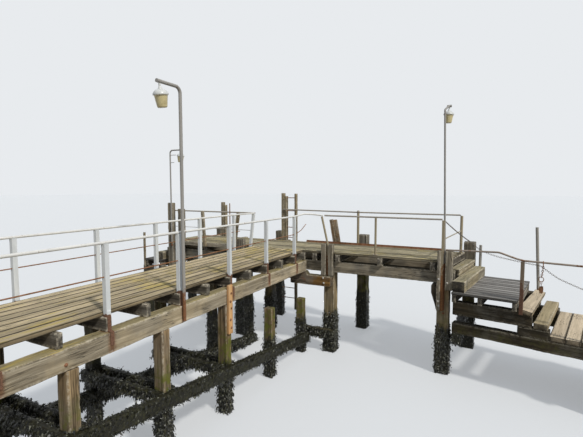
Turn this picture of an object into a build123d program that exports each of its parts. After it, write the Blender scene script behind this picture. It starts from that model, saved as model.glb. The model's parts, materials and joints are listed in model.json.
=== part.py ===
# A timber jetty on piles: a railed walkway on six bents, a head across its end,
# steps down to a low landing on each arm, and a low gangway beyond the right one.
#
# X runs along the head, Y runs outward along the walkway, Z is up.
# The origin is the foot of the corner pile, where it meets the water.
from build123d import *
from math import radians, sin
import os

os.makedirs("parts", exist_ok=True)

# Levels above the water
deck_level = 3000
landing_level = 2278
gangway_level = 1570
cross_head_top = 2300
cut_pile_tops = (1790, 1600)

# Heights above the deck
rail_height = 1062
mid_rail_height = 530
cheek_rise = 220
right_cheek_rise = 250
left_cheek_rise = 1105
middle_cheek_rise = 200
corner_stub_rise = 235
back_stub_rise = 225
right_stub_rise = 220
tall_timber_rise = 1640
left_timber_rise = 1260
left_pile_rise = 1310
ladder_rise = 1625

# Depths below the deck
cheek_reach = 1300
short_cheek_reach = 750
kerb_board_drop = 130
back_beam_drop = 720

# Timber sections
board_width = 215
board_thickness = 70
board_gap = 5
bearer_width = 100
bearer_depth = 220
head_bearer_width = 140
beam_depth = 320
stringer_width = 250
front_beam_width = 320
back_beam_width = 250
cheek_thickness = 150
pile_size = 320
right_pile_width = 310
inner_pile_size = 280
corner_stub_size = 340
right_stub_size = 330
back_stub_size = 250
small_pile_size = 250
leg_pile_width = 190
leg_pile_depth = 230
pile_arris = 14
fit = 0.3

# Walkway
near_edge = -800
walkway_boards = 8
walkway_start = -10180
bearer_pitch = 770
bearers_per_post = 2
bearer_count = 13
last_bearer = -880
bent_lines = (-9355, -7670, -5945, -4135, -2230, -400)
junction_setback = 60

# Posts and rails
post_size = 75
post_setback = 25
bearer_setback = 55
strap_width = 60
strap_thickness = 10
strap_rise = 90
strap_drop = 200
far_post_shift = -250
far_foot_size = 120
far_foot_thickness = 12
rail_radius = 22.5
rod_radius = 10
rail_hump = 55
hump_first = (115, 350)
hump_second = 310
hump_bends = (300, 250, 200)
rod_end_middle = (110, 220, 110)
rod_end = (185, 370, 270)
rod_bend = 75
stanchion_radius = 30
ball_radius = 45
flange_size = 120
rail_post_size = 64
strut_radius = 15
strut_rise = 520
strut_lift = 60
flange_thickness = 10

# Low timbers of the walkway
waling_depth = 240
waling_thickness = 120
waling_slope = 0.128
near_waling_top = 1750
far_waling_top = 1410
cross_timber_depth = 190
cross_timber_thickness = 90
head_waling_ends = (-880, 160)
head_waling_level = 450
head_waling_depth = 250
knee_width = 130
knee_depth = 240
knee_reach = 650
knee_corner = 45
knee_front = 120
cross_head_depth = 300
cross_head_width = 230
cross_head_ends = (-1150, 126)
stringer_end_gap = 150
repair_width = 140
repair_thickness = 60
repair_bottom = 1750
repair_rise = 90

# Head
head_front = -200
head_boards = 8
head_left = -5960
front_line = -100
back_line = 2300
front_piles = (-6130, -3140, 0)
right_pile_back = 255
inner_pile = (-2560, 900)
corner_stub_x = 230
right_stub_reach = 200
right_stub_setback = 69
tall_stub_x = -3020
left_stub_x = -5800
head_bearers = (-5760, -4450, -2560, -1500, -420, 290, 1520)
last_head_bearer_back = 520
corner_cheeks = ((-200, -50), (20, 170))
arm_corner = 3410
left_cheek_back = (405, 310)
right_cheek_back = (205, 20)
left_cheek = (-5620, -5390)
left_timber = (-6085, -5845)
middle_cheek = (-3150, -2880)
cut_clearance = 5
kerb_leg = 60
kerb_thickness = 8
kerb_start = -1500
kerb_end_back = 460
back_beam_left = -5950

# Ladder and the timbers on the back row
tall_timber_width = 150
tall_timber_thickness = 110
ladder_x = -2310
stile_width = 90
stile_depth = 110
stile_foot = 300
rung_radius = 14
rung_pitch = 380
rungs_below = 6
rungs_above = (380, 990, 1470)
twin_width = 130
twin_thickness = 70
twin_rise = 860
twin_lean = -150
twin_foot_clearance = 12
twin_feet = (-460, -325)

# Right arm, turned a little from the head, with its own x and y from the corner
# where the right cheek meets the front line of the piles
turn = 8.5
landing_length = 1465
landing_front = -360
landing_board_count = 12
landing_board_width = 203
landing_board_thickness = 60
landing_bearer_depth = 200
landing_beam_depth = 350
landing_beam_width = 200
landing_back = 2141
landing_clear = 31
landing_bearer_setback = 30
middle_landing_bearer = 675
board_notch = 400
tread_start = 330
tread_overhang = 20
step_back = -200
step_thickness = 90
first_step_drop = 270
second_step_drop = 450
baulk_width = 300
baulk_setback = 60
baulk_clearance = 15
deck_end_back = 230
end_bearer_back = 380

# Low steps and gangway, turned a little more from the corner of the landing
low_turn = 2.3
plank_width = 290
plank_thickness = 90
plank_drop = 80
plank_far_drop = 40
plank_far_shift = 150
plank_far_width = 232
low_step_thickness = 142
low_step_gap = 25
low_step_width = 290
low_beam_depth = 270
low_beam_width = 250
gangway_board = 285
gangway_board_thickness = 120
gangway_board_count = 15
cap_depth = 280
cap_width = 200
cap_overhang = 120
gangway_pitch = 3200
gangway_start_cap = 1290
joint_gap = 2

# Posts of the right arm and the guard bar over them
landing_post = 75
guard_radius = 22
guard_crest_back = 457
guard_crest_rise = 145
guard_dip_back = 107
guard_dip_rise = 35
guard_bend_start = 52.5
guard_bend = 280
near_post_rise = 220
near_post_foot = 1960
near_post_setback = 30
round_post_radius = 38
tall_post_height = 2100
short_post_height = 1500

# Left arm
left_landing_length = 820
left_beam_reach = 170
left_row_setback = 50
left_post_width = 70
rail_end_height = 1040
lower_wire_height = 480
wire_radius = 8
thin_pole_radius = 16
thin_pole_rise = 1340
thin_pole_x = -3370
arm_post_width = 110
arm_post_depth = 70
arm_posts = ((-4390, -4470), (-3200, -3020))

# Lamps
pole_radius = 30
thin_pole = 24
knuckle_radius = 32
knuckle_length = 110
stem_radius = 17
stem_length = 45
cone_foot_radius = 42
cone_height = 50
cap_radius = 128
cap_rim = 18
cap_height = 72
dome_radius = 96
dome_height = 50
bowl_top_radius = 112
bowl_foot_radius = 84
bowl_height = 205
bowl_round = 26
bowl_bulge = (10, 6)
lantern_tilt = 9
lamp_arm = 490
bend_radius = 110
right_pole_lean = 85
walkway_lamp_place = (-6020, 6580)
right_lamp_back = 245
right_lamp_place = (60, 6890)
left_lamp_place = (-5395, 6130)
right_pole_back = 238
left_pole_x = -5880
left_brackets = ((165, 290), (420, 200))

# Worked out from the values above
bearer_top = deck_level - board_thickness
beam_top = bearer_top - bearer_depth
beam_bottom = beam_top - beam_depth
walkway_width = walkway_boards * board_width + (walkway_boards - 1) * board_gap
far_edge = near_edge - walkway_width
walkway_centre = (near_edge + far_edge) / 2
post_x = near_edge + post_setback + post_size / 2
bearer_end = post_x + post_size / 2
stringer_face = bearer_end + bearer_setback
post_count = (bearer_count + 1) // 2
post_lines = [last_bearer - i * bearer_pitch * bearers_per_post for i in range(post_count)]
rail_z = deck_level + rail_height - rail_radius
post_top = rail_z - rail_radius - fit
mid_rail_z = deck_level + mid_rail_height
head_back = head_front + head_boards * board_width + (head_boards - 1) * board_gap
near_stringer_end = front_line - stringer_end_gap
cheek_front = front_line - cheek_thickness
right_pile_x = arm_corner - right_pile_back
right_cheek_left = [arm_corner - back for back in left_cheek_back]
right_cheek_right = [arm_corner - back for back in right_cheek_back]
right_stub = (arm_corner + right_stub_reach, back_line - right_stub_setback)
turned_frame = Location((arm_corner, front_line, 0), (0, 0, -turn))
landing_bearer_bottom = landing_level - landing_board_thickness - landing_bearer_depth
landing_beam_bottom = landing_bearer_bottom - landing_beam_depth
low_beam_top = gangway_level - gangway_board_thickness
low_beam_bottom = low_beam_top - low_beam_depth
first_step = deck_level - first_step_drop
second_step = deck_level - second_step_drop


def timber(x0, x1, y0, y1, z0, z1, mode=Mode.ADD):
    """A squared timber between two corners, added to the part being built."""
    with Locations(((x0 + x1) / 2, (y0 + y1) / 2, (z0 + z1) / 2)):
        Box(x1 - x0, y1 - y0, z1 - z0, mode=mode)


def squared_piles(places, width, depth, foot, top):
    """Upright squared timbers with their long corners taken off."""
    with BuildSketch(Plane.XY.offset(foot)) as plan:
        with Locations(*places):
            Rectangle(width, depth)
        chamfer(plan.vertices(), pile_arris)
    extrude(plan.sketch, amount=top - foot)


def leaning_timber(foot, top, width, depth):
    """A timber that leans along X from its foot to its top."""
    run = Vector(*top) - Vector(*foot)
    with Locations(Plane(origin=foot, x_dir=(0, 1, 0), z_dir=run)):
        Box(depth, width, run.length, align=(Align.CENTER, Align.CENTER, Align.MIN))


def round_post(x, y, foot, height, radius):
    """An upright tube, modelled solid."""
    with Locations((x, y, foot)):
        Cylinder(radius, height, align=(Align.CENTER, Align.CENTER, Align.MIN))


def tube_run(points, radii, radius):
    """A round tube along straight runs joined by arcs."""
    with BuildLine() as path:
        if radii:
            FilletPolyline(*points, radius=radii)
        else:
            Polyline(*points)
    with BuildSketch(Plane(origin=path.line @ 0, z_dir=path.line % 0)) as section:
        Circle(radius)
    sweep(section.sketch, path=path.line)


def mirrored(x):
    """The place across the walkway that matches x."""
    return 2 * walkway_centre - x


def turned_point(x, y, z):
    """A point of the right arm, given in the model's own axes."""
    return tuple((turned_frame * Location((x, y, z))).position)


def save(part, name):
    part.label = name
    export_step(part, f"parts/{name}.step")


# Walkway piles: the near row is set under the near stringer and its last two
# piles are cut off below it, and the far row stands at full height
near_pile_x = stringer_face - leg_pile_depth / 2
far_pile_x = mirrored(near_pile_x)
near_pile_tops = [beam_bottom] * (len(bent_lines) - len(cut_pile_tops)) + list(cut_pile_tops)

with BuildPart() as walkway_near_piles:
    for y, top in zip(bent_lines, near_pile_tops):
        squared_piles([(near_pile_x, y)], leg_pile_depth, leg_pile_width, 0, top)
save(walkway_near_piles.part, "walkway_near_piles")

with BuildPart() as walkway_far_piles:
    places = [(far_pile_x, y) for y in bent_lines]
    squared_piles(places, leg_pile_depth, leg_pile_width, 0, beam_bottom)
save(walkway_far_piles.part, "walkway_far_piles")

# A newer timber bolted over the fourth pile and the stringer
with BuildPart() as repair_timber:
    timber(
        stringer_face, stringer_face + repair_thickness,
        bent_lines[3] - repair_width / 2, bent_lines[3] + repair_width / 2,
        repair_bottom, beam_top + repair_rise,
    )
save(repair_timber.part, "repair_timber")

# Stringers of the walkway
with BuildPart() as walkway_near_stringer:
    timber(
        stringer_face - stringer_width, stringer_face,
        walkway_start, near_stringer_end,
        beam_bottom, beam_top,
    )
save(walkway_near_stringer.part, "walkway_near_stringer")

far_face = mirrored(stringer_face)
with BuildPart() as walkway_far_stringer:
    timber(far_face, far_face + stringer_width, walkway_start, front_line, beam_bottom, beam_top)
save(walkway_far_stringer.part, "walkway_far_stringer")

# Bearers across the stringers, with the last one close to the head
bearer_lines = [last_bearer - i * bearer_pitch for i in range(bearer_count)] + [head_front - junction_setback]
with BuildPart() as walkway_bearers:
    for y in bearer_lines:
        timber(
            mirrored(bearer_end), bearer_end,
            y - bearer_width / 2, y + bearer_width / 2,
            beam_top, bearer_top,
        )
save(walkway_bearers.part, "walkway_bearers")

with BuildPart() as walkway_deck_boards:
    for i in range(walkway_boards):
        x = near_edge - i * (board_width + board_gap)
        timber(x - board_width, x, walkway_start, head_front - board_gap, bearer_top, deck_level)
save(walkway_deck_boards.part, "walkway_deck_boards")


def rod_hole(x, y):
    """The hole that the middle rail runs through."""
    with Locations(Location((x, y, mid_rail_z), (90, 0, 0))):
        Hole(radius=rod_radius + fit, depth=post_size)


def near_post(y):
    """A square steel post on a bearer end, with a strap bent down over the stringer."""
    timber(
        post_x - post_size / 2, bearer_end,
        y - post_size / 2, y + post_size / 2,
        bearer_top, post_top,
    )
    with BuildSketch(Plane.XZ.offset(-y - strap_width / 2)) as profile:
        with BuildLine():
            Polyline(
                (bearer_end, bearer_top + strap_rise),
                (bearer_end, beam_top),
                (stringer_face, beam_top),
                (stringer_face, beam_top - strap_drop),
                (stringer_face + strap_thickness, beam_top - strap_drop),
                (stringer_face + strap_thickness, beam_top + strap_thickness),
                (bearer_end + strap_thickness, beam_top + strap_thickness),
                (bearer_end + strap_thickness, bearer_top + strap_rise),
                close=True,
            )
        make_face()
    extrude(profile.sketch, amount=strap_width)
    rod_hole(post_x, y)


with BuildPart() as walkway_near_posts:
    for y in post_lines:
        near_post(y)
save(walkway_near_posts.part, "walkway_near_posts")

# The far posts stand on the stringer between the bearers, each on a foot plate
far_post_x = mirrored(post_x)
with BuildPart() as walkway_far_posts:
    for y in [line + far_post_shift for line in post_lines[:-1]]:
        timber(
            far_post_x - post_size / 2, far_post_x + post_size / 2,
            y - post_size / 2, y + post_size / 2,
            beam_top, post_top,
        )
        timber(
            far_post_x - far_foot_size / 2, far_post_x + post_size / 2,
            y - far_foot_size / 2, y + far_foot_size / 2,
            beam_top, beam_top + far_foot_thickness,
        )
        rod_hole(far_post_x, y)
save(walkway_far_posts.part, "walkway_far_posts")

# The last far post leans out from the stringer towards the walkway
junction_edge = head_front - junction_setback + bearer_width / 2
leaning_post_y = junction_edge + post_size / 2 + cut_clearance
leaning_foot_x = far_face + (post_size - bearer_setback) / 2
leaning_top_x = far_post_x + post_size
with BuildPart() as leaning_far_post:
    leaning_timber(
        (leaning_foot_x, leaning_post_y, beam_top + cut_clearance),
        (leaning_top_x, leaning_post_y, post_top - cut_clearance),
        post_size, post_size,
    )
    timber(
        leaning_foot_x - post_size / 2, leaning_foot_x + post_size / 2,
        leaning_post_y - post_size / 2, leaning_post_y + post_size / 2,
        beam_top, beam_top + far_foot_thickness,
    )
save(leaning_far_post.part, "leaning_far_post")

# Top rails: the near one humps over to the bent stanchion at the corner
stanchion_foot = (sum(corner_cheeks[0] + corner_cheeks[1]) / 4, front_line - cheek_thickness / 2)
stanchion_top_x = corner_cheeks[0][0]
hump_start = last_bearer + far_foot_size / 2
with BuildPart() as walkway_near_top_rail:
    tube_run(
        [
            (post_x, walkway_start, rail_z),
            (post_x, hump_start, rail_z),
            (post_x + hump_first[0], hump_start + hump_first[1], rail_z + rail_hump),
            (post_x + hump_second, head_front - junction_setback, rail_z + rail_hump - rail_radius),
            (stanchion_top_x + stanchion_radius, stanchion_foot[1], rail_z),
        ],
        hump_bends,
        rail_radius,
    )
save(walkway_near_top_rail.part, "walkway_near_top_rail")

with BuildPart() as walkway_far_top_rail:
    tube_run(
        [
            (far_post_x, walkway_start, rail_z),
            (far_post_x, last_bearer, rail_z),
            (leaning_top_x, leaning_post_y + post_size / 2, rail_z),
        ],
        [bearer_pitch],
        rail_radius,
    )
save(walkway_far_top_rail.part, "walkway_far_top_rail")

# The near rod is bent up beyond the last post
with BuildPart() as walkway_near_mid_rail:
    tube_run(
        [
            (post_x, walkway_start, mid_rail_z),
            (post_x, last_bearer + post_size, mid_rail_z),
            (post_x + rod_end_middle[0], last_bearer + rod_end_middle[1], mid_rail_z + rod_end_middle[2]),
            (post_x + rod_end[0], last_bearer + rod_end[1], mid_rail_z + rod_end[2]),
        ],
        [rod_bend, rod_bend],
        rod_radius,
    )
save(walkway_near_mid_rail.part, "walkway_near_mid_rail")

with BuildPart() as walkway_far_mid_rail:
    ends = (walkway_start, hump_start)
    tube_run([(far_post_x, y, mid_rail_z) for y in ends], None, rod_radius)
save(walkway_far_mid_rail.part, "walkway_far_mid_rail")


def raked_waling(x0, top_at_start):
    """A low waling that rakes down towards the head along a row of piles."""
    y0 = bent_lines[0] - leg_pile_width
    y1 = bent_lines[-1] + leg_pile_width / 2
    drop = (y1 - y0) * waling_slope
    with BuildSketch(Plane.YZ.offset(x0)) as side_view:
        with BuildLine():
            Polyline(
                (y0, top_at_start),
                (y1, top_at_start - drop),
                (y1, top_at_start - drop - waling_depth),
                (y0, top_at_start - waling_depth),
                close=True,
            )
        make_face()
    extrude(side_view.sketch, amount=waling_thickness)


with BuildPart() as walkway_low_walings:
    raked_waling(stringer_face, near_waling_top)
    raked_waling(far_face + leg_pile_depth, far_waling_top)
save(walkway_low_walings.part, "walkway_low_walings")

# Low cross timbers grip both sides of the first four pairs of walkway piles
with BuildPart() as walkway_cross_timbers:
    for y in bent_lines[:-len(cut_pile_tops)]:
        top = near_waling_top - (y - bent_lines[0]) * waling_slope
        for side in (-1, 1):
            face = y + side * leg_pile_width / 2
            outer = face + side * cross_timber_thickness
            timber(
                far_face, stringer_face,
                min(face, outer), max(face, outer),
                top - cross_timber_depth, top,
            )
save(walkway_cross_timbers.part, "walkway_cross_timbers")

# Cross head that carries the end of the near stringer on a packing piece
cross_head_front = front_line - cross_head_width
with BuildPart() as corner_cross_head:
    timber(
        *cross_head_ends, cross_head_front, front_line,
        cross_head_top - cross_head_depth, cross_head_top,
    )
    timber(
        stringer_face - stringer_width, stringer_face,
        cross_head_front, near_stringer_end,
        cross_head_top, beam_bottom,
    )
save(corner_cross_head.part, "corner_cross_head")

# A low waling across the corner pile, and a knee beside the right pile
with BuildPart() as head_low_timbers:
    timber(
        *head_waling_ends, front_line - bearer_width, front_line,
        head_waling_level, head_waling_level + head_waling_depth,
    )
    knee_side = right_pile_x - right_pile_width / 2
    knee_end = knee_side - knee_width
    with BuildSketch(Plane.XZ.offset(-front_line - front_beam_width)) as knee:
        with BuildLine():
            Polyline(
                (knee_side, beam_bottom),
                (knee_end + knee_corner, beam_bottom),
                (knee_end, beam_bottom - knee_corner),
                (knee_end, beam_bottom - knee_depth),
                (knee_side, beam_bottom - knee_reach),
                close=True,
            )
        make_face()
    extrude(knee.sketch, amount=front_beam_width + knee_front)
save(head_low_timbers.part, "head_low_timbers")

# Front piles of the head, with an inner pile behind them
with BuildPart() as head_front_piles:
    for x in front_piles:
        squared_piles([(x, front_line + pile_size / 2)], pile_size, pile_size, 0, beam_bottom)
    squared_piles([(right_pile_x, front_line + pile_size / 2)], right_pile_width, pile_size, 0, beam_bottom)
    squared_piles([inner_pile], inner_pile_size, inner_pile_size, 0, beam_top)
save(head_front_piles.part, "head_front_piles")

# Back piles of the head: short stubs stand above the deck, and tall timbers are
# bolted beside two of them
back_piles = (
    (corner_stub_x, corner_stub_size, corner_stub_rise),
    (tall_stub_x, back_stub_size, back_stub_rise),
    (left_stub_x, back_stub_size, back_stub_rise),
)
tall_x = tall_stub_x + back_stub_size / 2
left_x = left_stub_x + back_stub_size / 2
with BuildPart() as head_back_piles:
    for x, size, rise in back_piles:
        squared_piles([(x, back_line + size / 2)], size, size, 0, deck_level + rise)
    squared_piles([right_stub], right_stub_size, right_stub_size, 0, deck_level + right_stub_rise)
save(head_back_piles.part, "head_back_piles")

with BuildPart() as tall_timbers:
    for start, rise in ((tall_x, tall_timber_rise), (left_x, left_timber_rise)):
        for i in range(2):
            x = start + i * (tall_timber_thickness + fit)
            timber(
                x, x + tall_timber_thickness,
                back_line, back_line + tall_timber_width,
                beam_bottom, deck_level + rise - i * tall_timber_thickness,
            )
save(tall_timbers.part, "tall_timbers")

# Beams of the head
head_beam_left = front_piles[0] - pile_size / 2
with BuildPart() as head_front_beam:
    timber(head_beam_left, arm_corner, front_line, front_line + front_beam_width, beam_bottom, beam_top)
save(head_front_beam.part, "head_front_beam")

with BuildPart() as head_back_beam:
    timber(
        back_beam_left, right_stub[0] - right_stub_size / 2,
        back_line - back_beam_width, back_line,
        deck_level - back_beam_drop, beam_top,
    )
save(head_back_beam.part, "head_back_beam")

with BuildPart() as head_bearer_timbers:
    for x in (*head_bearers, arm_corner - last_head_bearer_back):
        timber(
            x - head_bearer_width / 2, x + head_bearer_width / 2,
            head_front, back_line,
            beam_top, bearer_top,
        )
    with Locations(turned_frame):
        timber(
            -end_bearer_back, -end_bearer_back + head_bearer_width,
            landing_clear, landing_back,
            beam_top, bearer_top,
        )
save(head_bearer_timbers.part, "head_bearers")

# Boards of the head: their right ends follow the turned line of the right arm,
# and the front board is cut back round the cheek timbers
board_reach = arm_corner + head_bearer_width
front_board_cuts = (
    (corner_cheeks[0][0] - cut_clearance, corner_cheeks[1][1] + cut_clearance),
    (right_cheek_left[0] - cut_clearance, board_reach),
    (middle_cheek[0] - cut_clearance, middle_cheek[1] + cut_clearance),
    (left_cheek[0] - cut_clearance, left_cheek[1] + cut_clearance),
    (head_left - cut_clearance, left_timber[1] + cut_clearance),
    (leaning_foot_x - post_size, leaning_foot_x + post_size),
)
with BuildPart() as head_deck_boards:
    for i in range(head_boards):
        y = head_front + i * (board_width + board_gap)
        timber(head_left, board_reach, y, y + board_width, bearer_top, deck_level)
    for x0, x1 in front_board_cuts:
        timber(
            x0, x1,
            head_front - cut_clearance, front_line + cut_clearance,
            bearer_top, deck_level, Mode.SUBTRACT,
        )
    with Locations(turned_frame):
        timber(
            -deck_end_back, board_reach,
            -board_reach, board_reach,
            bearer_top, deck_level, Mode.SUBTRACT,
        )
save(head_deck_boards.part, "head_deck_boards")

# A kerb board on edge along the front of the left arm
kerb_board_face = head_front - board_thickness
kerb_board_bottom = deck_level - kerb_board_drop
with BuildPart() as left_kerb_board:
    timber(
        left_cheek[1] + cut_clearance, middle_cheek[0] - cut_clearance,
        kerb_board_face, head_front,
        kerb_board_bottom, deck_level + kerb_thickness,
    )
save(left_kerb_board.part, "left_kerb_board")


def cheek_timber(sides, foot, rise):
    """An upright timber bolted to the front face of the head beam."""
    timber(*sides, cheek_front, front_line, foot, deck_level + rise)


# Cheek timbers stand up from the head beam at the corner, at the right pile and
# along the left arm
with BuildPart() as cheek_timbers:
    for cheek in corner_cheeks:
        cheek_timber(cheek, cross_head_top, cheek_rise)
    cheek_timber(right_cheek_left, deck_level - cheek_reach, right_cheek_rise)
    cheek_timber(right_cheek_right, deck_level - short_cheek_reach, right_cheek_rise)
    cheek_timber(left_cheek, deck_level - cheek_reach, left_cheek_rise)
    cheek_timber(middle_cheek, beam_bottom, middle_cheek_rise)
    cheek_timber(left_timber, deck_level - cheek_reach, left_pile_rise)
save(cheek_timbers.part, "cheek_timbers")

# Kerb angle along the back edge of the deck
with BuildPart() as back_kerb_angle:
    with BuildSketch(Plane.YZ.offset(kerb_start)):
        with BuildLine():
            Polyline(
                (head_back - kerb_leg, deck_level),
                (head_back, deck_level),
                (head_back, deck_level + kerb_leg),
                (head_back - kerb_thickness, deck_level + kerb_leg),
                (head_back - kerb_thickness, deck_level + kerb_thickness),
                (head_back - kerb_leg, deck_level + kerb_thickness),
                close=True,
            )
        make_face()
    extrude(amount=arm_corner - kerb_end_back - kerb_start)
save(back_kerb_angle.part, "back_kerb_angle")

# Stanchions and rails of the head: the near rail ends on a square post that stands
# against the right cheek, in front of the lamp pole
rail_post_x = right_cheek_left[1] + fit
rail_post_y = front_line - 2 * thin_pole - 2 * fit
plain_stanchion = (head_bearers[6] - head_bearer_width, head_front + flange_size / 2)
far_stanchion_x = head_bearers[5] - stanchion_radius
end_stanchion = turned_point(-end_bearer_back + head_bearer_width / 2, landing_back - board_width, 0)
far_stanchions = ((far_stanchion_x, head_back + board_width), end_stanchion[:2])
with BuildPart() as head_stanchions:
    tube_run(
        [
            (*stanchion_foot, cross_head_top),
            (*stanchion_foot, deck_level + cheek_rise + far_foot_thickness),
            (stanchion_top_x, stanchion_foot[1], post_top - stanchion_radius / 4),
        ],
        [cheek_thickness],
        stanchion_radius,
    )
    timber(
        plain_stanchion[0] - flange_size / 2, plain_stanchion[0] + flange_size / 2,
        plain_stanchion[1] - flange_size / 2, plain_stanchion[1] + flange_size / 2,
        deck_level, deck_level + flange_thickness,
    )
    round_post(*plain_stanchion, deck_level, post_top - deck_level, stanchion_radius)
    for x, y in far_stanchions:
        round_post(x, y, bearer_top, post_top - bearer_top, stanchion_radius + rod_radius)
    timber(
        rail_post_x, rail_post_x + rail_post_size,
        rail_post_y - rail_post_size, rail_post_y,
        deck_level - cheek_reach, post_top,
    )
    strut_x = rail_post_x + strut_radius
    strut_z = deck_level + strut_rise
    tube_run(
        [
            (strut_x, rail_post_y - rail_post_size / 2, strut_z),
            (*end_stanchion[:2], strut_z + strut_lift),
        ],
        None,
        strut_radius,
    )
save(head_stanchions.part, "head_stanchions")

near_rail_ends = (stanchion_top_x + board_thickness, rail_post_x)
with BuildPart() as head_near_rail:
    tube_run([(x, plain_stanchion[1], rail_z) for x in near_rail_ends], None, rail_radius)
save(head_near_rail.part, "head_near_rail")

with BuildPart() as head_far_rail:
    tube_run(
        [
            (tall_x + tall_timber_thickness, back_line - rail_radius - fit, rail_z),
            (*far_stanchions[0], rail_z),
            (*far_stanchions[1], rail_z),
        ],
        [bearer_pitch],
        rail_radius,
    )
    for x, y in far_stanchions:
        with Locations((x, y, rail_z + rail_radius)):
            Sphere(ball_radius)
save(head_far_rail.part, "head_far_rail")

# Ladder between the tall timbers and its own stile
tall_side = tall_x + 2 * tall_timber_thickness + fit
rung_heights = [-i * rung_pitch for i in range(rungs_below + 1)] + list(rungs_above)
with BuildPart() as ladder_stile:
    timber(
        ladder_x - stile_width / 2, ladder_x + stile_width / 2,
        back_line, back_line + stile_depth,
        stile_foot, deck_level + ladder_rise,
    )
save(ladder_stile.part, "ladder_stile")

with BuildPart() as ladder_rungs:
    end = ladder_x - stile_width / 2
    for height in rung_heights:
        z = deck_level + height
        start = tall_side if z > beam_bottom else tall_x
        with Locations(Location(((start + end) / 2, back_line + stile_depth / 2, z), (0, 90, 0))):
            Cylinder(rung_radius, end - start)
save(ladder_rungs.part, "ladder_rungs")

# Twin timbers lean side by side against the back edge of the deck
with BuildPart() as leaning_timbers:
    for x in twin_feet:
        leaning_timber(
            (x, head_back + fit + twin_thickness / 2, bearer_top + twin_foot_clearance),
            (x + twin_lean, head_back + fit + twin_thickness / 2, bearer_top + twin_rise),
            twin_width - cut_clearance, twin_thickness,
        )
save(leaning_timbers.part, "leaning_timbers")


def landing_board_places():
    return [landing_front + i * (landing_board_width + board_gap) for i in range(landing_board_count)]


with BuildPart() as right_landing_boards:
    with Locations(turned_frame):
        for y in landing_board_places():
            x = step_back if y > board_notch else landing_clear
            timber(
                x, landing_length,
                y, y + landing_board_width,
                landing_level - landing_board_thickness, landing_level,
            )
save(right_landing_boards.part, "right_landing_boards")

# A plank laid at a slope beside the landing, and the low frame beyond it
plank_start = landing_length + joint_gap
plank_end = plank_start + plank_width
plank_near = -landing_beam_width
plank_top = landing_bearer_bottom + plank_thickness
low_frame = turned_frame * Location((plank_end, plank_near, 0), (0, 0, -low_turn))


def plank_section(y, shift, width, drop):
    """The cross section of the plank at one of its ends."""
    plane = Plane(turned_frame * Location((plank_start + shift, y, 0), (90, 0, 0)))
    with BuildSketch(plane) as section:
        with BuildLine():
            Polyline(
                (0, plank_top),
                (width, plank_top - drop),
                (width, plank_top - drop - plank_thickness),
                (0, plank_top - plank_thickness),
                close=True,
            )
        make_face()
    return section.sketch.face()


with BuildPart() as right_sloping_plank:
    near_section = plank_section(plank_near, 0, plank_width, plank_drop)
    far_section = plank_section(landing_back, plank_far_shift, plank_far_width, plank_far_drop)
    loft([near_section, far_section])
save(right_sloping_plank.part, "right_sloping_plank")

# The beam ends are cut to the slope of the plank that lies on them
with BuildPart() as right_landing_beams:
    with Locations(turned_frame):
        for y, start in ((plank_near, landing_clear), (landing_back - landing_beam_width, step_back)):
            timber(start, plank_end, y, y + landing_beam_width, landing_beam_bottom, landing_bearer_bottom)
    add(right_sloping_plank.part, mode=Mode.SUBTRACT)
save(right_landing_beams.part, "right_landing_beams")

right_bearers = (
    landing_clear + bearer_width / 2 + cut_clearance,
    middle_landing_bearer,
    landing_length - bearer_width / 2 - cut_clearance,
)
with BuildPart() as right_landing_bearers:
    with Locations(turned_frame):
        for x in right_bearers:
            timber(
                x - bearer_width / 2, x + bearer_width / 2,
                landing_front + landing_bearer_setback, landing_back,
                landing_bearer_bottom, landing_bearer_bottom + landing_bearer_depth,
            )
save(right_landing_bearers.part, "right_landing_bearers")

# Steps down from the deck to each landing: a tread on a baulk, then a lower baulk
left_step_x = head_beam_left - cut_clearance
left_step_back = head_left - 2 * tread_overhang
baulk_start = board_notch + baulk_clearance
with BuildPart() as step_baulks:
    with Locations(turned_frame):
        timber(
            landing_clear, landing_clear + baulk_width,
            landing_front + baulk_setback, landing_back,
            landing_level, second_step,
        )
        timber(
            step_back, landing_clear - joint_gap,
            baulk_start, landing_back,
            landing_level, first_step - step_thickness,
        )
    timber(
        left_step_x - baulk_width, left_step_x - joint_gap,
        landing_front + baulk_setback, landing_back,
        landing_level, second_step,
    )
    timber(
        left_step_x, left_step_back,
        baulk_start, landing_back,
        landing_level, first_step - step_thickness,
    )
save(step_baulks.part, "step_baulks")

with BuildPart() as step_treads:
    with Locations(turned_frame):
        timber(
            step_back, landing_clear + tread_overhang,
            tread_start, landing_back,
            first_step - step_thickness, first_step,
        )
    timber(
        left_step_x - tread_overhang, left_step_back,
        tread_start, landing_back,
        first_step - step_thickness, first_step,
    )
save(step_treads.part, "step_treads")

# Packing blocks on the low beams carry the landing beams and the low step
low_start = joint_gap
low_step_start = low_start + low_step_gap
low_step_end = low_step_start + low_step_width
low_width = landing_back + landing_beam_width
block_start = -plank_width
low_step_level = landing_beam_bottom + low_step_thickness
with BuildPart() as right_low_steps:
    with Locations(low_frame):
        timber(low_step_start, low_step_end, 0, low_width, landing_beam_bottom, low_step_level)
save(right_low_steps.part, "right_low_steps")

with BuildPart() as landing_support_blocks:
    with Locations(low_frame):
        for y in (0, low_width - low_beam_width):
            timber(
                block_start, low_step_end + low_step_gap,
                y, y + low_beam_width,
                low_beam_top, landing_beam_bottom,
            )
save(landing_support_blocks.part, "landing_support_blocks")

# The gangway runs on from the low step on two low beams
board_start = low_step_end + low_step_gap + joint_gap
gangway_end = board_start + gangway_board_count * (gangway_board + board_gap)
low_beam_start = -landing_length - plank_width
gangway_caps_x = (gangway_start_cap, gangway_start_cap + gangway_pitch)
with BuildPart() as gangway_beams:
    with Locations(low_frame):
        for y in (0, low_width - low_beam_width):
            timber(low_beam_start, gangway_end, y, y + low_beam_width, low_beam_bottom, low_beam_top)
save(gangway_beams.part, "gangway_beams")

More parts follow.
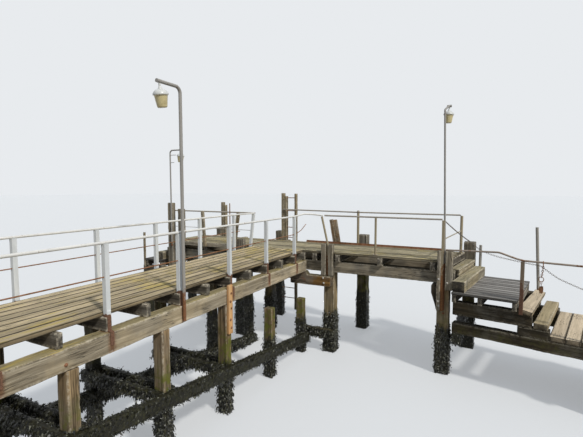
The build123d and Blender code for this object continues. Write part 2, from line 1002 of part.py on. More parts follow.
with BuildPart() as gangway_caps:
    timber(
        arm_corner, arm_corner + cap_width,
        cheek_front, right_stub[1] - right_stub_size / 2,
        low_beam_bottom - cap_depth, low_beam_bottom,
    )
    with Locations(low_frame):
        for x in gangway_caps_x:
            timber(
                x - cap_width / 2, x + cap_width / 2,
                -cap_overhang, low_width + cap_overhang,
                low_beam_bottom - cap_depth, low_beam_bottom,
            )
save(gangway_caps.part, "gangway_caps")

with BuildPart() as gangway_piles:
    with Locations(low_frame):
        for x in gangway_caps_x:
            for y in (0, low_width - small_pile_size):
                timber(
                    x - small_pile_size / 2, x + small_pile_size / 2,
                    y, y + small_pile_size,
                    0, low_beam_bottom - cap_depth,
                )
save(gangway_piles.part, "gangway_piles")

with BuildPart() as gangway_boards:
    with Locations(low_frame):
        for i in range(gangway_board_count):
            x = board_start + i * (gangway_board + board_gap)
            timber(x, x + gangway_board, 0, low_width, low_beam_top, gangway_level)
save(gangway_boards.part, "gangway_boards")

# Posts of the right arm
near_post_top = deck_level + near_post_rise
near_post_x = plank_start + near_post_setback
landing_post_top = near_post_top - 2 * guard_radius
with BuildPart() as landing_posts:
    with Locations(turned_frame):
        timber(
            near_post_x, near_post_x + landing_post,
            plank_near - landing_post, plank_near,
            near_post_foot, landing_post_top,
        )
    with Locations(low_frame):
        timber(
            gangway_caps_x[0], gangway_caps_x[0] + landing_post,
            -landing_post, 0,
            low_beam_bottom, landing_post_top,
        )
save(landing_posts.part, "landing_posts")

# Two round posts stand behind the landing, and the tall one leans
back_post_y = landing_back + round_post_radius + fit
tall_post_x = plank_start + plank_far_shift
with BuildPart() as landing_back_posts:
    tube_run(
        [
            turned_point(tall_post_x + landing_post, back_post_y, landing_beam_bottom + cut_clearance),
            turned_point(tall_post_x - landing_post / 2, back_post_y, landing_beam_bottom + tall_post_height),
        ],
        None,
        round_post_radius,
    )
    with Locations(turned_frame):
        round_post(
            landing_clear + baulk_width / 2, back_post_y,
            landing_beam_bottom, short_post_height, round_post_radius,
        )
save(landing_back_posts.part, "landing_back_posts")


def low_point(x, y, z):
    """A point of the low frame, given in the model's own axes."""
    return tuple((low_frame * Location((x, y, z))).position)


# The guard bar runs from the top of the right cheek over the near post to the
# gangway post
guard_y = plank_near - landing_post / 2
guard_z = landing_post_top + guard_radius + fit
guard_start = (right_cheek_right[0] + cut_clearance, (cheek_front + front_line) / 2)
with BuildPart() as guard_bar:
    tube_run(
        [
            (*guard_start, deck_level + right_cheek_rise + guard_radius + fit),
            turned_point(near_post_x - guard_crest_back, guard_y, guard_z + guard_crest_rise),
            turned_point(near_post_x - guard_dip_back, guard_y, guard_z + guard_dip_rise),
            turned_point(near_post_x + guard_bend_start, guard_y, guard_z),
            low_point(gangway_caps_x[0] + landing_post, -landing_post / 2, guard_z),
        ],
        [guard_bend, guard_bend, guard_bend],
        guard_radius,
    )
save(guard_bar.part, "guard_bar")

# Left end: a shorter landing on its own piles
left_landing_end = left_step_x - left_landing_length
left_beam_end = left_landing_end - left_beam_reach
left_back_face = back_line - left_row_setback
with BuildPart() as left_landing_boards:
    for y in landing_board_places():
        right_end = left_step_back if y > board_notch else left_step_x
        timber(
            left_landing_end, right_end, y, y + landing_board_width,
            landing_level - landing_board_thickness, landing_level,
        )
save(left_landing_boards.part, "left_landing_boards")

# The near beam runs past the first front pile and bears on its face
with BuildPart() as left_landing_beams:
    timber(
        left_beam_end, left_timber[0] - cut_clearance,
        front_line - landing_beam_width, front_line,
        landing_beam_bottom, landing_bearer_bottom,
    )
    timber(
        left_beam_end, left_step_back,
        left_back_face - landing_beam_width, left_back_face,
        landing_beam_bottom, landing_bearer_bottom,
    )
save(left_landing_beams.part, "left_landing_beams")

with BuildPart() as left_landing_bearers:
    for x in (left_step_x - bearer_width, left_landing_end + bearer_width / 2 + cut_clearance):
        timber(
            x - bearer_width / 2, x + bearer_width / 2,
            landing_front + landing_bearer_setback, left_back_face,
            landing_bearer_bottom, landing_bearer_bottom + landing_bearer_depth,
        )
save(left_landing_bearers.part, "left_landing_bearers")

left_pile_y = left_back_face - landing_beam_width / 2
with BuildPart() as left_landing_piles:
    for place in (
        (left_landing_end, front_line - landing_beam_width / 2),
        (left_landing_end, left_pile_y),
        (left_step_x + bearer_width, left_pile_y),
    ):
        squared_piles([place], small_pile_size, small_pile_size, 0, landing_beam_bottom)
save(left_landing_piles.part, "left_landing_piles")

with BuildPart() as left_landing_post:
    timber(
        left_landing_end - left_post_width, left_landing_end - cut_clearance,
        front_line - landing_beam_width - left_post_width, front_line - landing_beam_width,
        near_post_foot, near_post_top,
    )
save(left_landing_post.part, "left_landing_post")

# Rails and posts of the left arm: they stand against the kerb board
with BuildPart() as left_arm_rails:
    tube_run(
        [
            (left_timber[0], front_line + rail_radius + fit, deck_level + rail_end_height),
            (leaning_top_x, front_line + rail_radius + fit, deck_level + rail_end_height),
        ],
        None,
        rail_radius,
    )
    tube_run(
        [
            (left_timber[0], front_line + wire_radius + fit, deck_level + lower_wire_height),
            (leaning_foot_x, front_line + wire_radius + fit, deck_level + lower_wire_height),
        ],
        None,
        wire_radius,
    )
save(left_arm_rails.part, "left_arm_rails")

arm_post_y = kerb_board_face - fit - arm_post_depth / 2
with BuildPart() as left_arm_posts:
    for foot_x, top_x in arm_posts:
        leaning_timber(
            (foot_x, arm_post_y, kerb_board_bottom),
            (top_x, arm_post_y, deck_level + rail_height),
            arm_post_width, arm_post_depth,
        )
save(left_arm_posts.part, "left_arm_posts")

with BuildPart() as left_arm_pole:
    round_post(
        thin_pole_x, kerb_board_face - thin_pole_radius - fit,
        kerb_board_bottom, thin_pole_rise + kerb_board_drop, thin_pole_radius,
    )
save(left_arm_pole.part, "left_arm_pole")

# Lamps: each hangs from the end of an arm, a little out of plumb. A lamp is given
# by the end of its arm, the turn of the arm in plan, and how far it hangs askew
walkway_lamp = (stringer_face + strap_thickness + pole_radius + fit, *walkway_lamp_place)
right_lamp = (arm_corner - right_lamp_back, *right_lamp_place)
left_lamp = (left_lamp_place[0], cheek_front - thin_pole - fit, left_lamp_place[1])
walkway_pole_y = walkway_lamp[1] + lamp_arm
pole_foot = beam_bottom + bearer_setback
right_pole_y = front_line - thin_pole - fit
right_pole_foot = (arm_corner - right_pole_back, right_pole_y, deck_level - cheek_reach)
left_pole_foot = (left_pole_x, left_lamp[1], deck_level - strap_drop)


def knuckle(place, turns):
    """The thick sleeve at the end of a lamp arm."""
    with Locations(Location(place, turns)):
        Cylinder(knuckle_radius, knuckle_length)


with BuildPart() as lamp_poles:
    x, y, z = walkway_lamp
    walkway_pole = [(x, walkway_pole_y, pole_foot), (x, walkway_pole_y, z), (x, y, z)]
    tube_run(walkway_pole, [bend_radius], pole_radius)
    knuckle(walkway_lamp, (90, 0, 0))
    x, y, z = right_lamp
    tube_run(
        [
            right_pole_foot,
            (right_pole_foot[0], right_pole_y, deck_level + right_cheek_rise),
            (right_pole_foot[0] - right_pole_lean, right_pole_y, z - bend_radius),
            (x, y - knuckle_length / 2, z),
            (x, y + knuckle_length / 2, z),
        ],
        [rail_height, bend_radius / 2, thin_pole],
        thin_pole,
    )
    knuckle(right_lamp, (0, 90, 0))
    x, y, z = left_lamp
    tube_run([left_pole_foot, (left_pole_foot[0], y, z), (x, y, z)], [bend_radius], thin_pole)
    knuckle(left_lamp, (0, 90, 0))
    for drop, reach in left_brackets:
        with Locations(Location((left_pole_foot[0] + reach / 2 - thin_pole, y, z - drop), (0, 90, 0))):
            Cylinder(rod_radius, reach)
save(lamp_poles.part, "lamp_poles")


def lantern_frame(place, tilt_x, tilt_y):
    """The frame of a lantern: its origin is under the knuckle, and Z runs up its axis."""
    drop = knuckle_radius + fit + 1.2 * stem_radius * sin(radians(tilt_x + tilt_y))
    return Location(place) * Location((0, 0, 0), (tilt_x, tilt_y, 0)) * Location((0, 0, -drop))


lanterns = (
    lantern_frame(walkway_lamp, lantern_tilt, 0),
    lantern_frame(right_lamp, 0, lantern_tilt / 3),
    lantern_frame(left_lamp, 0, lantern_tilt / 3),
)
cone_top = -stem_length
cap_top = cone_top - cone_height
rim_top = cap_top - cap_height
rim_bottom = rim_top - cap_rim


def turned_profile(frame, draw):
    """A round body about the axis of a lantern, from its half profile."""
    with BuildSketch(Plane(frame * Location((0, 0, 0), (90, 0, 0)))) as half:
        with BuildLine():
            draw()
        make_face()
    revolve(half.sketch, axis=Axis(frame.position, (frame * Location((0, 0, 1))).position - frame.position))


def cap_profile():
    Polyline((0, rim_bottom), (cap_radius, rim_bottom), (cap_radius, rim_top))
    ThreePointArc((cap_radius, rim_top), (dome_radius, rim_top + dome_height), (cone_foot_radius, cap_top))
    Polyline(
        (cone_foot_radius, cap_top), (stem_radius, cone_top),
        (stem_radius, 0), (0, 0), (0, rim_bottom),
    )


def bowl_profile():
    bowl_top = rim_bottom - fit
    bowl_foot = bowl_top - bowl_height
    Polyline(
        (0, bowl_foot), (0, bowl_top),
        (bowl_top_radius, bowl_top), (bowl_foot_radius, bowl_foot + bowl_round),
    )
    ThreePointArc(
        (bowl_foot_radius, bowl_foot + bowl_round),
        (bowl_foot_radius - bowl_bulge[0], bowl_foot + bowl_bulge[1]),
        (bowl_foot_radius - bowl_round, bowl_foot),
    )
    Line((bowl_foot_radius - bowl_round, bowl_foot), (0, bowl_foot))


with BuildPart() as lantern_caps:
    for frame in lanterns:
        turned_profile(frame, cap_profile)
save(lantern_caps.part, "lantern_caps")

with BuildPart() as lantern_bowls:
    for frame in lanterns:
        turned_profile(frame, bowl_profile)
save(lantern_bowls.part, "lantern_bowls")
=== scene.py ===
import json
import math
import random

import bmesh
import bpy
import numpy as np
from mathutils import Euler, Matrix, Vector, noise


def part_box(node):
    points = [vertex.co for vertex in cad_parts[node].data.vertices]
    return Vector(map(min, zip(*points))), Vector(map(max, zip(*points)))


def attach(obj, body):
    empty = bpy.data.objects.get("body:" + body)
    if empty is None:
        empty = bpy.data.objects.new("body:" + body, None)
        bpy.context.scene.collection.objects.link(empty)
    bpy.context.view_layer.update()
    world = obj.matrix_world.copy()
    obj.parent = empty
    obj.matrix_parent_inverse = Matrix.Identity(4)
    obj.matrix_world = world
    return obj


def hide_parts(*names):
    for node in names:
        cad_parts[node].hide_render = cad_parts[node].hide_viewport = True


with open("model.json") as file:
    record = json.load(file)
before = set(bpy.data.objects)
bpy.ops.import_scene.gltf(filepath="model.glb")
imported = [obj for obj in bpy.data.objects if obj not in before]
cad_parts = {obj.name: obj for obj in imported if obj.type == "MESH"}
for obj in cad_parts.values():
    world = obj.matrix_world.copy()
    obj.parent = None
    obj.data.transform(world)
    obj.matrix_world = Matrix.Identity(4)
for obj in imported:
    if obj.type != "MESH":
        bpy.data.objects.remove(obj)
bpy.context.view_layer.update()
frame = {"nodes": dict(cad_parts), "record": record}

scene = bpy.context.scene
scene.view_settings.view_transform = "Standard"

UP = Vector((0, 0, 1))

# Posts stand at an even pitch along the walkway, fewer than the most given here, and the
# strap of the last one lies this far inside its node
POST_PITCH = 1.54
MOST_POSTS = 40
STRAP_INSET = 0.0375


# Camera, at the photograph's viewing angle
PHOTO_WIDTH = 583
FOCAL_PIXELS = 410
SENSOR = 36.0
EYE = Vector((4.45, -11.10, 4.846))
EYE_DOWN = 4.313
EYE_LEFT = 27.304


def place_camera():
    lens = bpy.data.cameras.new("eye")
    lens.sensor_width = SENSOR
    lens.lens = SENSOR * FOCAL_PIXELS / PHOTO_WIDTH
    lens.clip_end = 500
    camera = bpy.data.objects.new("eye", lens)
    camera.location = EYE
    camera.rotation_euler = Euler((math.radians(90 - EYE_DOWN), 0, math.radians(EYE_LEFT)))
    scene.collection.objects.link(camera)
    scene.camera = camera


place_camera()


# Colours are given as they look, from 0 to 255, and turned into linear light
def tint(red, green, blue):
    def linear(value):
        c = value / 255
        return c / 12.92 if c <= 0.04045 else ((c + 0.055) / 1.055) ** 2.4
    return (linear(red), linear(green), linear(blue), 1)


class Graph:
    """Short calls for one node tree."""

    def __init__(self, tree):
        self.tree = tree

    def add(self, kind, inputs=(), **settings):
        node = self.tree.nodes.new(kind)
        for key, value in settings.items():
            setattr(node, key, value)
        for key, value in dict(inputs).items():
            self.put(value, node.inputs[key])
        return node

    def put(self, value, socket):
        if isinstance(value, bpy.types.NodeSocket):
            self.tree.links.new(value, socket)
        elif value is not None:
            socket.default_value = value

    def math(self, operation, a, b=None, clamp=False):
        node = self.add("ShaderNodeMath", {0: a}, operation=operation, use_clamp=clamp)
        if b is not None:
            self.put(b, node.inputs[1])
        return node.outputs[0]

    def vector(self, operation, a, b=None):
        node = self.add("ShaderNodeVectorMath", {0: a}, operation=operation)
        if b is not None:
            self.put(b, node.inputs[1])
        return node.outputs[0]

    def noise(self, where, scale, detail=4.0, rough=0.55, colour=False):
        node = self.add(
            "ShaderNodeTexNoise",
            {"Vector": where, "Scale": scale, "Detail": detail, "Roughness": rough},
        )
        return node.outputs["Color" if colour else "Fac"]

    def between(self, value, low, high, out_low=0.0, out_high=1.0, smooth=True):
        node = self.add(
            "ShaderNodeMapRange",
            {"Value": value, "From Min": low, "From Max": high, "To Min": out_low, "To Max": out_high},
            interpolation_type="SMOOTHSTEP" if smooth else "LINEAR",
        )
        return node.outputs["Result"]

    def mix(self, share, a, b, blend="MIX"):
        node = self.add("ShaderNodeMix", data_type="RGBA", blend_type=blend)
        self.put(share, node.inputs["Factor"])
        self.put(a, node.inputs[6])
        self.put(b, node.inputs[7])
        return node.outputs[2]

    def attribute(self, name, output="Fac"):
        return self.add("ShaderNodeAttribute", attribute_name=name).outputs[output]


def new_group(name, inputs, outputs):
    """A shader node group with named inputs and outputs, its graph and its two ends."""
    tree = bpy.data.node_groups.new(name, "ShaderNodeTree")
    kinds = {"value": "NodeSocketFloat", "vector": "NodeSocketVector", "colour": "NodeSocketColor"}
    for label, kind, start in inputs:
        socket = tree.interface.new_socket(label, in_out="INPUT", socket_type=kinds[kind])
        if start is not None:
            socket.default_value = start
    for label, kind in outputs:
        tree.interface.new_socket(label, in_out="OUTPUT", socket_type=kinds[kind])
    graph = Graph(tree)
    return tree, graph, graph.add("NodeGroupInput").outputs, graph.add("NodeGroupOutput").inputs


def height_of(g, place):
    return g.add("ShaderNodeSeparateXYZ", {0: place}).outputs["Z"]


def facing_up(g):
    """1 on faces that look up, 0 on upright faces and -1 on faces that look down."""
    return height_of(g, g.add("ShaderNodeNewGeometry").outputs["Normal"])


def own_place(g):
    return g.add("ShaderNodeTexCoord").outputs["Object"]


def make_grain_group():
    """Sawn grain along the first part of the grain vector: streaks, fine lines, splits and runs."""
    tree, g, into, out = new_group(
        "sawn_grain",
        [("Grain", "vector", None), ("Fineness", "value", 1.0)],
        [("Streak", "value"), ("Crack", "value"), ("Blotch", "value"), ("Run", "value"), ("Height", "value")],
    )
    across = g.add("ShaderNodeCombineXYZ", {0: 1.0, 1: into["Fineness"], 2: into["Fineness"]}).outputs[0]
    where = g.vector("MULTIPLY", into["Grain"], across)
    bend = g.add("ShaderNodeVectorMath", {0: g.noise(where, 1.1, 2, colour=True)}, operation="SCALE")
    bend.inputs["Scale"].default_value = 0.035
    bent = g.vector("ADD", where, bend.outputs[0])
    long_way = g.vector("MULTIPLY", bent, (1.1, 26.0, 26.0))
    streak = g.noise(g.vector("MULTIPLY", bent, (0.7, 13.0, 13.0)), 1.0, 6, 0.62)
    fine = g.noise(g.vector("MULTIPLY", bent, (3.0, 95.0, 95.0)), 1.0, 3, 0.6)
    split = g.noise(long_way, 1.0, 2, 0.5)
    near_split = g.math("ABSOLUTE", g.math("SUBTRACT", split, 0.5))
    where_split = g.between(g.noise(where, 1.7, 2), 0.42, 0.6)
    crack = g.math("MULTIPLY", g.between(near_split, 0.0, 0.03, 1.0, 0.0), where_split)
    both = g.math("ADD", g.math("MULTIPLY", streak, 0.72), g.math("MULTIPLY", fine, 0.28))
    g.put(g.between(both, 0.36, 0.64, smooth=False), out["Streak"])
    g.put(crack, out["Crack"])
    long_run = g.noise(g.vector("MULTIPLY", bent, (0.45, 30.0, 30.0)), 1.0, 4, 0.6)
    g.put(g.between(long_run, 0.5, 0.64), out["Run"])
    g.put(g.noise(g.vector("MULTIPLY", where, (1.5, 5.0, 5.0)), 1.0, 5, 0.6), out["Blotch"])
    high = g.math("ADD", g.math("MULTIPLY", streak, 0.7), g.math("MULTIPLY", fine, 0.3))
    g.put(g.math("SUBTRACT", high, g.math("MULTIPLY", crack, 0.8)), out["Height"])
    return tree


def make_tide_group():
    """Masks by height above the feet: slime above, fouling below, both with a ragged edge."""
    tree, g, into, out = new_group(
        "tide_marks",
        [("Place", "vector", None), ("Slime Top", "value", 1.7), ("Fouling Top", "value", 1.0)],
        [("Slime", "value"), ("Fouling", "value"), ("Damp", "value")],
    )
    height = height_of(g, into["Place"])
    ragged = g.noise(g.vector("MULTIPLY", into["Place"], (3.0, 3.0, 1.1)), 1.0, 5, 0.65)
    lifted = g.math("ADD", height, g.math("MULTIPLY", g.math("SUBTRACT", ragged, 0.5), -1.1))
    marks = (("Slime", "Slime Top", 0.55), ("Fouling", "Fouling Top", 0.16), ("Damp", "Slime Top", 1.3))
    for label, top, soft in marks:
        below = g.math("SUBTRACT", into[top], lifted)
        g.put(g.between(below, -0.05, soft), out[label])
    return tree


def make_lichen_group():
    """Yellow crust in patches and streaks on faces that look up."""
    tree, g, into, out = new_group(
        "lichen_crust",
        [("Grain", "vector", None), ("Place", "vector", None), ("Amount", "value", 0.5)],
        [("Crust", "value")],
    )
    streaks = g.noise(g.vector("MULTIPLY", into["Grain"], (1.5, 14.0, 14.0)), 1.0, 5, 0.7)
    patches = g.noise(into["Place"], 0.9, 3, 0.6)
    level = g.math("ADD", g.math("MULTIPLY", streaks, 0.6), g.math("MULTIPLY", patches, 0.4))
    edge = g.math("SUBTRACT", 0.78, g.math("MULTIPLY", into["Amount"], 0.4))
    mask = g.between(g.math("SUBTRACT", level, edge), 0.0, 0.09)
    g.put(g.math("MULTIPLY", mask, g.between(facing_up(g), 0.1, 0.75)), out["Crust"])
    return tree


def make_rust_group():
    """Rust blooms that grow towards the foot of a painted piece."""
    tree, g, into, out = new_group(
        "rust_bloom",
        [("Place", "vector", None), ("Amount", "value", 0.3),
         ("Foot", "value", 0.0), ("Reach", "value", 0.2)],
        [("Rust", "value"), ("Shade", "value"), ("Height", "value")],
    )
    height = height_of(g, into["Place"])
    low_down = g.between(g.math("SUBTRACT", height, into["Foot"]), 0.0, into["Reach"], 1.0, 0.0)
    spots = g.noise(g.vector("MULTIPLY", into["Place"], (11.0, 11.0, 6.0)), 1.0, 7, 0.7)
    blooms = g.between(spots, 0.3, 0.7, smooth=False)
    level = g.math("ADD", g.math("MULTIPLY", blooms, 0.6), g.math("MULTIPLY", low_down, 0.8))
    edge = g.math("SUBTRACT", 0.86, g.math("MULTIPLY", into["Amount"], 0.7))
    g.put(g.between(g.math("SUBTRACT", level, edge), -0.02, 0.08), out["Rust"])
    pits = g.noise(into["Place"], 60.0, 5, 0.7)
    g.put(pits, out["Shade"])
    g.put(g.math("ADD", g.math("MULTIPLY", blooms, 0.5), g.math("MULTIPLY", pits, 0.5)), out["Height"])
    return tree


GRAIN = make_grain_group()
TIDE = make_tide_group()
LICHEN = make_lichen_group()
RUST = make_rust_group()

BLACK_WEED = tint(22, 22, 18)
OLIVE_WEED = tint(56, 55, 36)
SLIME = tint(104, 106, 46)
CRUST = tint(206, 184, 98)
BLEACHED = tint(214, 204, 184)
GREY_PALE = tint(158, 154, 144)
GREY_DARK = tint(74, 70, 62)
RUST_DARK = tint(88, 60, 42)
RUST_LIGHT = tint(150, 102, 66)
CRUST_DARK = tint(158, 138, 72)
DAMP_DARK = tint(40, 34, 24)
DAMP_PALE = tint(98, 84, 58)
END_DIRT = tint(56, 52, 46)
SEAM_DIRT = tint(42, 37, 29)
SPLIT_DARK = tint(28, 24, 19)
WEED_FLECK = tint(146, 148, 132)


def shaded(colour, share):
    return tuple(c * share for c in colour[:3]) + (1,)


def material_with_shader(name):
    material = bpy.data.materials.new(name)
    material.use_nodes = True
    g = Graph(material.node_tree)
    shader = material.node_tree.nodes["Principled BSDF"]
    return material, g, shader


def use(g, group, **inputs):
    node = g.add("ShaderNodeGroup", node_tree=group)
    for label, value in inputs.items():
        g.put(value, node.inputs[label.replace("_", " ")])
    return node.outputs


def bump(g, shader, height, strength, distance):
    node = g.add("ShaderNodeBump", {"Height": height})
    node.inputs["Strength"].default_value = strength
    node.inputs["Distance"].default_value = distance
    g.put(node.outputs["Normal"], shader.inputs["Normal"])


def strap_streaks(g, place):
    """Rust run down from the post straps, which follow each other at an even pitch."""
    parts = g.add("ShaderNodeSeparateXYZ", {0: place}).outputs
    strap_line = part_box("walkway_near_posts")[1][1] - STRAP_INSET
    past_all = strap_line + MOST_POSTS * POST_PITCH
    turns = g.math("DIVIDE", g.math("SUBTRACT", past_all, parts["Y"]), POST_PITCH)
    away = g.math("ABSOLUTE", g.math("SUBTRACT", g.math("FRACT", g.math("ADD", turns, 0.5)), 0.5))
    ragged = g.noise(g.vector("MULTIPLY", place, (9, 26, 3)), 1.0, 4, 0.7)
    spread = g.math("ADD", g.math("MULTIPLY", away, POST_PITCH), g.math("MULTIPLY", ragged, -0.09))
    return g.between(spread, -0.03, 0.05, 0.85, 0.0)


def bare_wood(g, sawn, place, pale, dark, grey):
    """Sawn wood from pale to dark, blotched, and greyed in patches."""
    colour = g.mix(sawn["Streak"], dark, pale)
    middle = tuple((a + b) / 2 for a, b in zip(pale, dark))
    colour = g.mix(g.between(sawn["Blotch"], 0.38, 0.68, 0.0, 0.75), colour, g.mix(0.5, middle, dark))
    weathered = g.between(g.noise(place, 1.4, 4, 0.65), 0.44, 0.6, 0.0, grey)
    return g.mix(weathered, colour, g.mix(sawn["Streak"], GREY_DARK, GREY_PALE))


def bleached_top(g, sawn, colour, top, furrow):
    """Faces that look up bleach to their own colour, darker in the furrows."""
    upward = g.between(facing_up(g), 0.3, 0.8)
    bleach = g.mix(sawn["Streak"], shaded(top, furrow), top)
    return g.mix(g.math("MULTIPLY", upward, 0.8), colour, bleach)


def own_tone(g, colour, spread):
    """Makes each timber a little lighter or darker than the next."""
    shade = g.between(g.attribute("tone"), 0.0, 1.0, 1.0 - spread, 1.0 + 0.7 * spread, smooth=False)
    even = g.add("ShaderNodeCombineColor", {0: shade, 1: shade, 2: shade}).outputs[0]
    return g.mix(1.0, colour, even, "MULTIPLY")


def rust_stains(g, sawn, place, colour, stain, straps):
    """Rust that has bled into the wood, in spots and below the post straps."""
    rust = g.mix(sawn["Streak"], RUST_DARK, RUST_LIGHT)
    if stain:
        spots = g.between(g.noise(place, 2.6, 5, 0.7), 0.6, 0.75, 0.0, stain)
        colour = g.mix(spots, colour, rust)
    if straps:
        colour = g.mix(strap_streaks(g, place), colour, rust)
    return colour


def tide_marks(g, sawn, place, colour, rough, slime_top, fouling_top, slime):
    """Damp wood, then slime, then black fouling towards the feet, with a wet sheen."""
    tide = use(g, TIDE, Place=place, Slime_Top=slime_top, Fouling_Top=fouling_top)
    damp_wood = g.mix(sawn["Streak"], DAMP_DARK, DAMP_PALE)
    colour = g.mix(g.math("MULTIPLY", tide["Damp"], 0.55), colour, damp_wood)
    speck = g.between(g.noise(place, 7.0, 5, 0.7), 0.4, 0.62)
    colour = g.mix(g.math("MULTIPLY", tide["Slime"], g.math("MULTIPLY", speck, slime)), colour, SLIME)
    rag = g.between(g.noise(place, 19.0, 6, 0.75), 0.45, 0.66)
    fouling = g.mix(rag, BLACK_WEED, OLIVE_WEED)
    colour = g.mix(g.math("MULTIPLY", tide["Fouling"], 0.94), colour, fouling)
    return colour, g.math("SUBTRACT", rough, g.math("MULTIPLY", tide["Fouling"], 0.35))


def timber_material(name, pale, dark, top=None, lichen=0.0, slime_top=-1.0, fouling_top=-1.0,
                    worn=0.5, stain=0.0, cracks=0.8, seam=0.0, seam_from=0.62, spread=0.25,
                    grey=0.35, butts=0.5, straps=False, furrow=0.42, relief=0.008, fine=1.0,
                    runs=0.0, slime=0.75):
    """Weathered timber: grain, splits, bleached arrises, crust above and tide marks below."""
    material, g, shader = material_with_shader(name)
    grain = g.attribute("grain", "Vector")
    place = own_place(g)
    sawn = use(g, GRAIN, Grain=grain, Fineness=fine)
    colour = bare_wood(g, sawn, place, pale, dark, grey)
    if top:
        colour = bleached_top(g, sawn, colour, top, furrow)
    colour = own_tone(g, colour, spread)
    if stain or straps:
        colour = rust_stains(g, sawn, place, colour, stain, straps)
    if runs:
        colour = g.mix(g.math("MULTIPLY", sawn["Run"], runs), colour, shaded(dark, 0.55))
    chipped = g.between(g.noise(place, 17.0, 4, 0.7), 0.38, 0.62)
    arris = g.math("MULTIPLY", g.attribute("arris"), chipped)
    colour = g.mix(g.math("MULTIPLY", arris, worn), colour, BLEACHED)
    if lichen:
        crust = use(g, LICHEN, Grain=grain, Place=place, Amount=lichen)["Crust"]
        colour = g.mix(g.math("MULTIPLY", crust, 0.72), colour, g.mix(sawn["Streak"], CRUST_DARK, CRUST))
    smeared = g.between(sawn["Blotch"], 0.3, 0.6, 0.4 * butts, butts)
    colour = g.mix(g.math("MULTIPLY", g.attribute("butt"), smeared), colour, END_DIRT)
    if seam:
        colour = g.mix(g.between(g.attribute("arris"), seam_from, 0.95, 0.0, seam), colour, SEAM_DIRT)
    colour = g.mix(g.math("MULTIPLY", sawn["Crack"], cracks), colour, SPLIT_DARK)
    rough = g.between(sawn["Streak"], 0.0, 1.0, 0.95, 0.78)
    if slime_top > 0:
        colour, rough = tide_marks(g, sawn, place, colour, rough, slime_top, fouling_top, slime)
    g.put(colour, shader.inputs["Base Color"])
    g.put(rough, shader.inputs["Roughness"])
    shader.inputs["Specular IOR Level"].default_value = 0.25
    bump(g, shader, sawn["Height"], 0.8, relief)
    return material


def painted_metal(name, paint, amount, foot=-10.0, reach=0.2, rough=0.45, rust=(RUST_DARK, RUST_LIGHT)):
    """Worn paint on steel, rusted where it is chipped and at its foot."""
    material, g, shader = material_with_shader(name)
    place = own_place(g)
    bloom = use(g, RUST, Place=place, Amount=amount, Foot=foot, Reach=reach)
    dirt = g.between(g.noise(g.vector("MULTIPLY", place, (6, 6, 1.6)), 1.0, 5, 0.65), 0.35, 0.75, 0.0, 0.35)
    coat = g.mix(dirt, paint, shaded(paint, 0.55))
    colour = g.mix(bloom["Rust"], coat, g.mix(g.between(bloom["Shade"], 0.3, 0.7), *rust))
    g.put(colour, shader.inputs["Base Color"])
    g.put(g.between(bloom["Rust"], 0.0, 1.0, rough, 0.92), shader.inputs["Roughness"])
    pitted = g.between(bloom["Rust"], 0.0, 1.0, 0.15, 1.0)
    bump(g, shader, g.math("MULTIPLY", bloom["Height"], pitted), 0.5, 0.004)
    return material


def weed_material():
    """Wet strap weed, black to olive from strand to strand, with paler flecks."""
    material, g, shader = material_with_shader("strap_weed")
    place = own_place(g)
    colour = g.mix(g.between(g.attribute("tone"), 0.35, 1.0), BLACK_WEED, OLIVE_WEED)
    flecks = g.between(g.noise(place, 13.0, 4, 0.7), 0.53, 0.66, 0.0, 0.75)
    g.put(g.mix(flecks, colour, WEED_FLECK), shader.inputs["Base Color"])
    shader.inputs["Roughness"].default_value = 0.42
    shader.inputs["Specular IOR Level"].default_value = 0.5
    bump(g, shader, g.noise(place, 90.0, 3), 0.4, 0.004)
    return material


def bowl_material():
    """Yellowed, dirty plastic of the lantern bowls."""
    material, g, shader = material_with_shader("lantern_bowl")
    place = own_place(g)
    dirt = g.between(g.noise(place, 8.0, 5, 0.7), 0.4, 0.7, 0.0, 0.5)
    g.put(g.mix(dirt, tint(214, 200, 150), tint(160, 142, 92)), shader.inputs["Base Color"])
    shader.inputs["Roughness"].default_value = 0.28
    shader.inputs["Coat Weight"].default_value = 0.3
    bump(g, shader, g.noise(place, 30.0, 3), 0.15, 0.003)
    return material


DECK = timber_material(
    "deck_boards", tint(188, 170, 134), tint(104, 90, 70), top=tint(232, 212, 174),
    lichen=0.69, worn=0.12, seam=0.8, spread=0.34, grey=0.35, furrow=0.5, fine=1.4, runs=0.45,
)
HEAD_DECK = timber_material(
    "head_boards", tint(168, 156, 126), tint(80, 72, 56), top=tint(202, 190, 156),
    lichen=0.62, worn=0.12, seam=0.9, spread=0.34, grey=0.5, fine=1.4, runs=0.4,
)
STRINGER = timber_material(
    "stringer", tint(222, 206, 176), tint(138, 124, 98), top=tint(176, 162, 118),
    lichen=0.72, stain=0.3, worn=0.6, grey=0.45, straps=True, fine=1.3, runs=0.35,
)
BEARER = timber_material(
    "bearers", tint(124, 116, 104), tint(54, 50, 44), top=tint(140, 130, 112), worn=1.0, grey=0.5,
)
BEAM = timber_material(
    "head_beam", tint(206, 194, 170), tint(116, 106, 90), top=tint(124, 114, 90),
    lichen=0.3, stain=0.25, grey=0.6, runs=0.3,
)
PILE = timber_material(
    "piles", tint(214, 186, 144), tint(84, 66, 44), stain=0.35, slime_top=2.0, fouling_top=1.1,
    grey=0.4, cracks=1.0, fine=1.5, runs=0.75, slime=1.0,
)
HEAD_PILE = timber_material(
    "head_piles", tint(188, 168, 130), tint(92, 78, 58), stain=0.4, slime_top=1.72, fouling_top=1.32,
    runs=0.5, fine=1.3, slime=0.6,
)
STUMP = timber_material("far_piles", tint(104, 88, 62), tint(38, 31, 21), slime_top=2.3, fouling_top=1.5)
BACK_PILE = timber_material(
    "back_piles", tint(170, 160, 140), tint(70, 62, 50), slime_top=2.4, fouling_top=1.35,
    grey=0.7, cracks=1.0, runs=0.5,
)
